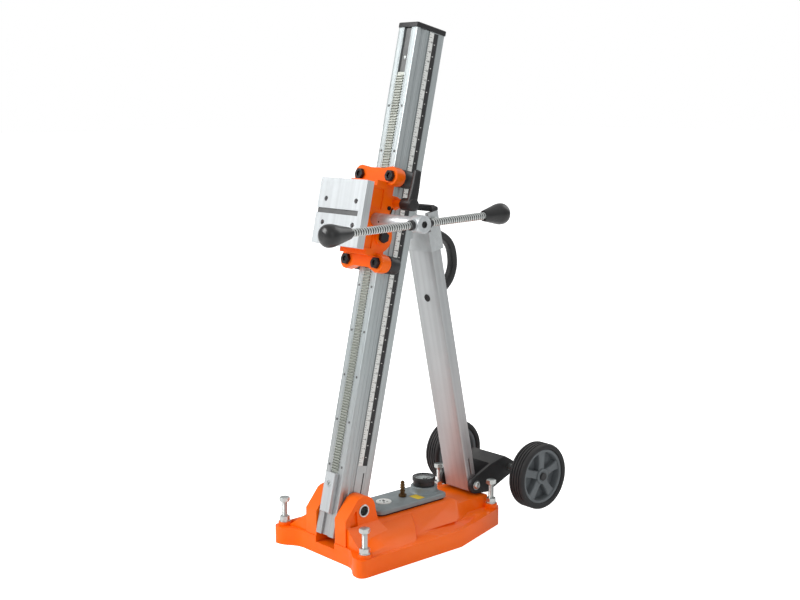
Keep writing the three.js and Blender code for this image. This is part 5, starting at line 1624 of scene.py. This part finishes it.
# ---- crank and clamp ----------------------------------------------------------------------------
@dataclass(frozen=True)
class Crank:
    """The cranked handle: sleeve, hub, threaded bars with collars, and pear knobs."""

    sleeve: tuple[float, float, float] = (42.7, 162.7, 13.5)
    hub: tuple[float, float, float] = (163.0, 191.0, 18.0)
    bar_x: float = 176.0
    bar_radius: float = 8.0
    span: float = 487.9
    knob_length: float = 67.5
    knob_radius: float = 22.2
    pitch: float = 6.0
    groove: float = 2.2

    def sleeve_surface(self) -> Surface:
        """A bored sleeve with rolled ends and one fine turned groove.

        Returns:
            The surface in the crank's frame.
        """
        a, b, r = self.sleeve
        line = [(8.3, a), (r - 1.2, a), (r - 0.4, a + 0.4), (r, a + 1.2), (r, a + 22.0), (r - 0.3, a + 22.4)]
        line += [(r - 0.3, a + 23.0), (r, a + 23.4), (r, b - 1.2), (r - 0.4, b - 0.4), (r - 1.2, b), (8.3, b)]
        return turned(line, 72, closed=True).placed(ALONG_X)

    def sleeve_hole_shadow(self) -> Surface:
        """A dark disc that paints the shade in the small pin hole on the sleeve's near side."""
        disc = turned([(0, 0), (2.0, 0), (2.0, 0.25), (0, 0.25)], 24)
        return disc.placed(BACK_Y.at(68.0, -13.35, -2.0))

    def hub_surface(self) -> Surface:
        """A turned hub with a stepped face, and a short boss each side for the bars.

        Returns:
            The surface in the crank's frame.
        """
        a, b, r = self.hub
        line = [(0, a + 4.6), (8.4, a + 4.6), (8.4, a), (r - 1.6, a), (r - 0.5, a + 0.5), (r, a + 1.6)]
        line += [(r, b - 2.4), (r - 0.7, b - 0.7), (r - 2.4, b), (r - 4.0, b), (r - 4.6, b - 0.6)]
        line += [(7.2, b - 0.6), (6.9, b - 1.2), (6.9, b - 3.0), (0, b - 3.0)]
        body = turned(line, 72).placed(ALONG_X)
        boss = turned([(8.35, 12.0), (11.6, 12.0), (11.6, 18.4), (10.9, 19.2), (8.35, 19.2)], 48, closed=True)
        front = boss.placed(BACK_Y.at(self.bar_x, 0.0, 0.0))
        rear = boss.placed(ALONG_Y.at(self.bar_x, 0.0, 0.0))
        return together(body, front, rear)

    def hub_bolt(self) -> Surface:
        """A socket head screw sunk in the hub's face."""
        return hex_head(6.4, 3.2, socket=4.4).placed(ALONG_X.at(self.hub[1] - 3.0, 0.0, 0.0))

    def bars(self) -> Surface:
        """One long bar through the hub with a coarse round thread.

        Returns:
            The surface in the crank's frame.
        """
        end = self.span / 2 - self.knob_length + 36.0
        rod = threaded(self.bar_radius, -end, end, self.pitch, self.groove, 40)
        return rod.placed(ALONG_Y.at(self.bar_x, 0.0, 0.0))

    def thread_groove_shadow(self) -> Surface:
        """Painted shadow in the thread's groove: a dark rod just thicker than the thread's core.

        Returns:
            The surface in the crank's frame.
        """
        end = self.span / 2 - self.knob_length + 4.0
        r = self.bar_radius - 1.35
        rod = turned([(0, -end), (r, -end), (r, end), (0, end)], 40)
        return rod.placed(ALONG_Y.at(self.bar_x, 0.0, 0.0))

    def collars(self) -> Surface:
        """A black collar on each bar beside the hub.

        Returns:
            The surface in the crank's frame.
        """
        profile = [(8.1, 19.6), (9.7, 19.6), (10.1, 20.2), (10.1, 26.8), (9.6, 27.6), (8.1, 27.6)]
        ring = turned(profile, 48, closed=True)
        return together(*[ring.placed(way.at(self.bar_x, 0, 0)) for way in (BACK_Y, ALONG_Y)])

    def knob(self) -> Surface:
        """A pear knob: a smooth line through its widening radii, closed round at the crown.

        Returns:
            The surface about Z, with its bored mouth at z = 0.
        """
        k, r = self.knob_length, self.knob_radius
        line = [(10.4, 0.0), (11.2, 1.4), (12.8, 7.0), (15.8, 19.5), (19.0, 32.0), (21.4, 41.5), (r, 49.5)]
        line += [(21.2, 57.0), (17.2, 63.0), (10.2, 66.7), (3.7, k - 0.15), (POLE, k)]
        smooth = smooth_line(line, 60)
        smooth[:, 0] = np.clip(smooth[:, 0], POLE, r)
        smooth[:, 1] = np.clip(smooth[:, 1], 0.0, k)
        mouth = [(POLE, 34.0), (8.4, 34.0), (8.4, 0.4), (9.4, 0.0)]
        return turned(mouth + [tuple(p) for p in smooth], 72)

    def build(self) -> None:
        """Makes the handle's pieces."""
        zinc, dark, gloss = ZINC.material(), DARK_STEEL.material(), GLOSS_BLACK.material()
        bright = "polished_aluminium"
        place = self.span / 2 - self.knob_length
        front = self.knob().placed(BACK_Y.at(self.bar_x, -place, 0.0))
        rear = self.knob().placed(ALONG_Y.at(self.bar_x, place, 0.0))
        pieces = [
            ("turned_sleeve", self.sleeve_surface(), POLISHED.material(), bright, ("spindle_sleeve",)),
            # A dark disc paints the shade in the sleeve's pin hole.
            ("sleeve_hole_shadow", self.sleeve_hole_shadow(), INK.material(), "black_steel", ()),
            ("turned_hub", self.hub_surface(), PLATE_METAL.material(), bright, ("handle_hub",)),
            ("hub_bolt", self.hub_bolt(), dark, "black_steel", ("hub_screw",)),
            ("threaded_bars", self.bars(), zinc, "zinc_steel", ("handle_rod",)),
            # The dark rod inside the thread paints the shadow in its grooves.
            ("thread_groove_shadow", self.thread_groove_shadow(), dark, "zinc_steel", ()),
            ("bar_collars", self.collars(), BLACK.material(), "black_plastic", ()),
            ("pear_knob_front", front, gloss, "black_plastic", ("knob_front",)),
            ("pear_knob_rear", rear, gloss, "black_plastic", ("knob_rear",)),
        ]
        for name, shape, finish, slot, solids in pieces:
            make_piece(name, shape.placed(CRANK), finish, "crank", solids)


@dataclass(frozen=True)
class ClampLever:
    """The black clamp lever beside the carriage."""

    depth: float = 8.0
    along: float = 705.0
    start: float = 66.3
    length: float = 74.0

    def lever(self) -> Surface:
        """A round hub and an arm whose section narrows along a slightly bowed line.

        Returns:
            The surface in the column's frame.
        """
        near = [(5.3, 0), (12.0, 0), (12.9, 0.9), (13.0, 2.0), (13.0, 31.5), (12.2, 33.2), (10.4, 34.0)]
        bore = [(POLE, 34.0), (POLE, 20.9), (5.3, 20.9)]
        hub = turned(near + bore, 56).placed(ALONG_X.at(self.start, self.depth, self.along))
        t = np.linspace(0, 1, 26)
        bow = self.depth + 1.5 * np.sin(t * math.pi) + 2.0 * t
        path = np.column_stack([bow, self.along + (self.length - 1.2) * t])
        tip = np.sqrt(np.clip(1 - np.clip((t - 0.93) / 0.07, 0, 1) ** 2, 0.001, 1))
        half_n = (12.2 - 4.6 * t**0.8) * tip
        half_x = (8.6 - 1.4 * t) * tip
        arm = swept(path, np.full_like(t, self.start + 23.0), half_x, half_n, 2.8, 36)
        return together(hub, arm)

    def build(self) -> None:
        """Makes the lever and dresses its screw."""
        shape = self.lever().placed(COLUMN)
        make_piece("clamp_arm", shape, BLACK.material(), "lever", ("clamp_lever",))
        dress_solid("clamp_screw", GEAR_STEEL.material())


# ---- strut --------------------------------------------------------------------------------------
@dataclass(frozen=True)
class Strut:
    """The rear strut with its head, cap, carrying handle and bolts."""

    head_half: float = 41.5
    pivot_along: float = 620.0
    handle_half: float = 13.0
    grommet_at: tuple[float, float] = (-14.0, 447.0)

    def handle(self) -> Surface:
        """A D-shaped grip: a superellipse section along a smooth bow, thickened at both feet.

        Returns:
            The surface in the strut's frame.
        """
        line = [(15.2, 453.0), (34.0, 457.0), (56.0, 470.0), (71.0, 492.0), (76.0, 516.0)]
        line += [(74.0, 540.0), (63.0, 560.0), (44.0, 575.0), (22.0, 582.0)]
        path = smooth_line(line, 60)
        t = np.linspace(0, 1, 60)
        feet = np.exp(-((t / 0.12) ** 2)) + np.exp(-(((1 - t) / 0.12) ** 2))
        half_n = 8.4 + 3.4 * feet
        half_x = np.full_like(t, self.handle_half) - 1.8 * np.sin(t * math.pi)
        return swept(path, np.zeros_like(t), half_x, half_n, 3.0, 36)

    def grommet(self) -> Surface:
        """The black rubber grommet in the tube's front hole.

        Returns:
            The surface in the strut's frame.
        """
        foot = [(0, -1.2), (6.6, -1.2), (6.6, 0.0)]
        lip = [(8.2, 0.1), (8.4, 0.9), (7.4, 1.5), (4.4, 1.2), (3.8, 0.2), (0, 0.2)]
        return turned(foot + lip, 40).placed(BACK_Y.at(0.0, *self.grommet_at))

    def pin(self, side: Side) -> Surface:
        """A hexagon bolt head on a washer with its stub through the cheek.

        Args:
            side: the side of the rig.

        Returns:
            The surface in the strut's frame.
        """
        x = self.head_half + 0.3
        head = hex_head(10.0, 4.4).moved(z=x + 1.6)
        washer = turned([(0, x), (10.8, x), (10.8, x + 1.4), (0, x + 1.4)], 48)
        stub = turned([(0, x - 9.6), (6.0, x - 9.6), (6.0, x + 0.2), (0, x + 0.2)], 32)
        place = (ALONG_X if side is Side.RIGHT else BACK_X).at(0.0, 0.0, self.pivot_along)
        return together(head, washer, stub).placed(place)

    def foot_bolt(self) -> Surface:
        """The foot bolt with a domed head on a washer at each end.

        Returns:
            The surface in the rig's frame.
        """
        rod = turned([(0, -50.5), (6.0, -50.5), (6.0, 50.5), (0, 50.5)], 40)
        washer = turned([(0, 50.3), (10.4, 50.3), (10.4, 51.7), (0, 51.7)], 48)
        dome = [(0, 51.8), (8.0, 51.8), (8.0, 53.4), (7.0, 55.0), (4.8, 56.0), (3.0, 56.2)]
        head = turned(dome + [(2.7, 54.4), (0, 54.4)], 48)
        near = together(washer, head).placed(ALONG_X)
        far = together(washer, head).placed(BACK_X)
        return together(rod.placed(ALONG_X), near, far).moved(0.0, 345.0, 84.0)

    def cap_bolt(self) -> Surface:
        """The small bright bolt on the cap's near corner."""
        return hex_head(4.9, 4.2).moved(33.0, 8.5, 644.0)

    def build(self) -> None:
        """Makes the strut's bolts and handle and dresses its solids."""
        dress_solid("strut_tube", STRUT_METAL.material(), 0.5)
        dress_solid("strut_head", HEAD_METAL.material(), 1.2)
        dress_solid("strut_cap", BLACK.material(), 1.0)
        dress_solid("tilt_bracket", HEAD_METAL.material(), 0.8)
        zinc, grip = ZINC.material(), self.handle().placed(STRUT)
        make_piece("carry_grip", grip, BLACK.material(), "strut", ("carry_handle",))
        make_piece("tube_grommet", self.grommet().placed(STRUT), SEAL.material(), "strut")
        for side in Side:
            pin, solid = self.pin(side).placed(STRUT), f"head_pin_{side.word}"
            make_piece(f"pivot_pin_{side.word}", pin, zinc, "strut", (solid,))
        make_piece("cap_bolt", self.cap_bolt().placed(STRUT), zinc, "strut")
        make_piece("foot_pivot", self.foot_bolt(), zinc, "base", ("foot_bolt",))


# ---- wheels -------------------------------------------------------------------------------------
@dataclass(frozen=True)
class Wheel:
    """One transport wheel: a grooved tyre on a five-spoke rim."""

    side: Side
    centre_x: float = 136.7
    y: float = 454.0
    z: float = 105.7
    radius: float = 75.0
    half_width: float = 21.0
    rim_radius: float = 62.0
    rim_edge: float = 0.7
    spokes: int = 5

    def tyre(self) -> Surface:
        """A turned tyre: flat tread with four grooves and rounded, stepped walls.

        Returns:
            The surface in the wheel's frame.
        """
        r, h, s = self.radius, self.half_width, self.rim_radius + 0.3
        side = [(s, h - 3.6), (s + 0.6, h - 2.6), (64.4, h - 1.2), (67.0, h - 0.3), (69.2, h)]
        side += [(71.2, h - 0.5), (73.0, h - 1.9), (74.4, h - 4.2), (r, h - 6.6)]
        tread: list[tuple[float, float]] = []
        for groove in (11.0, 3.8, -3.8, -11.0):
            tread += [(r, groove + 1.5), (r - 2.4, groove + 1.0), (r - 2.4, groove - 1.0), (r, groove - 1.5)]
        other = [(a, -b) for a, b in reversed(side)]
        return turned(side + tread + other, 96, closed=True)

    def rim(self) -> Surface:
        """A rim ring, a web, a hub and five flared spokes whose half width grows with radius.

        Returns:
            The surface in the wheel's frame.
        """
        r, bore = self.rim_radius, 8.4
        rolled = [(r, -14.0), (r, 15.6), (r - 1.0, 16.4), (r - 4.6, 16.4), (r - 6.4, 15.0), (r - 7.2, 12.0)]
        rolled += [(r - 7.2, -12.0), (r - 5.0, -14.6), (r - 1.0, -15.0)]
        ring = turned(rolled, 96, closed=True)
        web = turned([(bore, -6.0), (r - 6.0, -6.0), (r - 6.0, -3.0), (bore, -3.0)], 64, closed=True)
        stepped = [(bore, -19.5), (14.5, -19.5), (15.5, -18.5), (15.8, 12.0), (17.2, 13.4), (17.2, 15.4)]
        stepped += [(16.2, 16.4), (13.0, 16.6), (12.0, 15.8), (bore, 15.8)]
        hub = turned(stepped, 64, closed=True)
        right = [(9.5, 12.0), (8.4, 30.0), (9.6, 46.0), (13.0, 57.0)]
        left = [(-x, y) for x, y in right]
        outline = np.array(left[:1] + right + left[:0:-1])
        inner = outline * np.array([0.82, 1.0])
        arm = lofted([outline, outline, inner], [-3.4, 11.0, 13.2])
        parts = [ring, web, hub]
        for k in range(self.spokes):
            a = TURN * k / self.spokes
            spin = Placement(((math.cos(a), math.sin(a), 0), (-math.sin(a), math.cos(a), 0), (0, 0, 1)))
            parts.append(arm.placed(spin))
        return together(*parts)

    def axle_end(self) -> Surface:
        """The dark cap on the axle's end."""
        return turned([(0, 15.2), (9.0, 15.2), (9.2, 16.6), (9.0, 19.0), (7.6, 20.3), (0, 20.6)], 40)

    def build(self) -> None:
        """Makes the tyre, the rim and the axle's cap."""
        outwards = ALONG_X if self.side is Side.RIGHT else BACK_X
        place = outwards.at(self.side.value * self.centre_x, self.y, self.z)
        word, body = self.side.word, f"wheel_{self.side.word}"
        tyre, rim, cap = (shape.placed(place) for shape in (self.tyre(), self.rim(), self.axle_end()))
        make_piece(f"grooved_tyre_{word}", tyre, TYRE.material(), body, (f"tyre_{word}",))
        grey, edge = GREY_RIM.material(), self.rim_edge
        make_piece(f"spoked_rim_{word}", rim, grey, body, (f"rim_{word}",), edge)
        make_piece(f"axle_cap_{word}", cap, BLACK.material(), body)


@dataclass(frozen=True)
class WheelCarrier:
    """The black wheel frame, its axle and both wheels."""

    inner: float = 42.2
    outer: float = 49.9
    foot: tuple[float, float] = (345.0, 84.0)
    axle: tuple[float, float] = (454.0, 105.7)
    seat: float = 60.3

    def outline(self) -> Array:
        """A cheek's outline as (y, z): arcs round the strut's foot and round the axle, joined straight.

        Returns:
            The outline's points.
        """
        round_foot = arc_line(self.foot, 19.5, 100.0, 270.0, 20)
        round_axle = arc_line(self.axle, 17.0, -70.0, 60.0, 16)
        back = [(self.axle[0] - 16.0, self.axle[1] + 29.0), (self.axle[0] - 60.0, self.axle[1] + 19.0)]
        return np.vstack([round_foot, [(self.foot[0] + 40.0, self.seat)], round_axle, back])

    def frame(self) -> Surface:
        """Two cheeks, with a top sheet, a web behind the strut and a foot sheet between them.

        Returns:
            The surface in the rig's frame.
        """
        y, z = self.axle
        top = [(y - 60.0, z + 15.0), (y - 16.0, z + 25.0), (y - 16.0, z + 29.0), (y - 60.0, z + 19.0)]
        low = self.foot[0] + 33.0
        web = [(low, self.seat + 1.0), (low + 4.0, self.seat + 1.0)]
        web += [(y - 56.0, z + 18.0), (y - 60.0, z + 18.0)]
        front, rear = self.foot[0] + 14.0, low + 7.0
        foot = [(front, self.seat), (rear, self.seat), (rear, self.seat + 4.0), (front, self.seat + 4.0)]
        spans = ([self.inner, self.outer], [-self.outer, -self.inner])
        cheeks = [drawn(self.outline(), span) for span in spans]
        sheets = [drawn(np.array(sheet), [-self.inner - 1.0, self.inner + 1.0]) for sheet in (top, web, foot)]
        return together(*cheeks, *sheets).placed(ALONG_X)

    def build(self) -> None:
        """Makes the frame, dresses the axle and makes the wheels."""
        black = FRAME_BLACK.material()
        make_piece("carrier_frame", self.frame(), black, "base", ("wheel_frame",), 1.0)
        dress_solid("wheel_axle", ZINC.material())
        for side in Side:
            Wheel(side).build()


# ---- studio -------------------------------------------------------------------------------------
@dataclass(frozen=True)
class Lamp:
    """A soft square light that looks at a spot: its side is in metres and its power in watts."""

    name: str
    spot: Point
    size: float
    power: float
    aim: Point = (0.0, 0.1, 0.45)

    def build(self) -> None:
        """Hangs the light: its pitch and heading come from the line to its aim."""
        data = bpy.data.lights.new(self.name, "AREA")
        data.energy = self.power
        data.size = self.size
        lamp = bpy.data.objects.new(self.name, data)
        bpy.context.scene.collection.objects.link(lamp)
        lamp.location = self.spot
        line = np.array(self.aim) - np.array(self.spot)
        flat = math.hypot(line[0], line[1])
        heading = math.atan2(line[1], line[0]) - math.pi / 2
        lamp.rotation_euler = (math.atan2(flat, -line[2]), 0.0, heading)


@dataclass(frozen=True)
class Studio:
    """The pale floor, the soft lights and the camera."""

    azimuth: float = 48.26
    pitch: float = 9.14
    lens: float = 56.54
    eye: Point = (1.97963, -1.60776, 0.94922)
    floor_half: float = 30.0
    lamps: tuple[Lamp, ...] = (
        Lamp("key", (-1.6, -3.0, 2.6), 2.2, 104.0),
        Lamp("fill", (3.4, -0.8, 1.8), 2.6, 10.0),
        Lamp("rim", (0.5, 3.2, 2.8), 2.4, 24.0),
    )

    def floor(self) -> None:
        """A wide pale floor with a faint mottle."""
        half = self.floor_half
        mesh = bpy.data.meshes.new("floor")
        corners = [(-half, -half, 0), (half, -half, 0), (half, half, 0), (-half, half, 0)]
        mesh.from_pydata(corners, [], [(0, 1, 2, 3)])
        floor = bpy.data.objects.new("floor", mesh)
        bpy.context.scene.collection.objects.link(floor)
        material = bpy.data.materials.new("pale_floor")
        material.use_nodes = True
        graph = Graph(material.node_tree)
        shader = material.node_tree.nodes["Principled BSDF"]
        mottle = graph.noise(graph.place(), 3.0, 3.0)
        graph.feed(shader, "Base Color", graph.mix(mottle, colour(244, 244, 243), colour(248, 248, 248)))
        shader.inputs["Roughness"].default_value = 0.9
        shader.inputs["Emission Color"].default_value = (1.0, 1.0, 1.0, 1.0)
        seen = graph.node("ShaderNodeLightPath").outputs["Is Camera Ray"]
        graph.feed(shader, "Emission Strength", graph.math("ADD", graph.math("MULTIPLY", seen, 0.75), 0.1))
        mesh.materials.append(material)

    def world(self) -> None:
        """A white surround, a little darker low down, so that metal has something to reflect."""
        world = bpy.data.worlds.new("studio")
        world.use_nodes = True
        bpy.context.scene.world = world
        graph = Graph(world.node_tree)
        back = world.node_tree.nodes["Background"]
        coords = graph.node("ShaderNodeTexCoord").outputs["Generated"]
        split = graph.node("ShaderNodeSeparateXYZ")
        graph.feed(split, 0, coords)
        height = graph.ramp(split.outputs["Z"], -0.1, 0.7)
        sky = graph.mix(height, (0.36, 0.37, 0.38, 1.0), (0.62, 0.62, 0.62, 1.0))
        seen = graph.node("ShaderNodeLightPath").outputs["Is Camera Ray"]
        graph.feed(back, "Color", graph.mix(seen, sky, (1.0, 1.0, 1.0, 1.0)))
        graph.feed(back, "Strength", 1.0)

    def camera(self) -> None:
        """A camera that looks level across the rig and a little down."""
        data = bpy.data.cameras.new("camera")
        data.lens = self.lens
        data.sensor_width = 36.0
        camera = bpy.data.objects.new("camera", data)
        bpy.context.scene.collection.objects.link(camera)
        camera.location = self.eye
        camera.rotation_euler = (math.radians(90.0 - self.pitch), 0.0, math.radians(self.azimuth))
        bpy.context.scene.camera = camera

    def build(self) -> None:
        """Sets the whole studio."""
        self.camera()
        self.floor()
        self.world()
        for lamp in self.lamps:
            lamp.build()
        bpy.context.scene.view_settings.view_transform = "Standard"


def main() -> None:
    """Builds every sub-assembly in order."""
    logging.basicConfig(level=logging.INFO, format="%(name)s: %(message)s")
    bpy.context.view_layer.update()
    Studio().build()
    for part in (Base(), VacuumCover(), Column(), Carriage(), Crank(), ClampLever(), Strut(), WheelCarrier()):
        LOG.info("building %s", type(part).__name__)
        part.build()


if __name__ == "__main__":
    main()
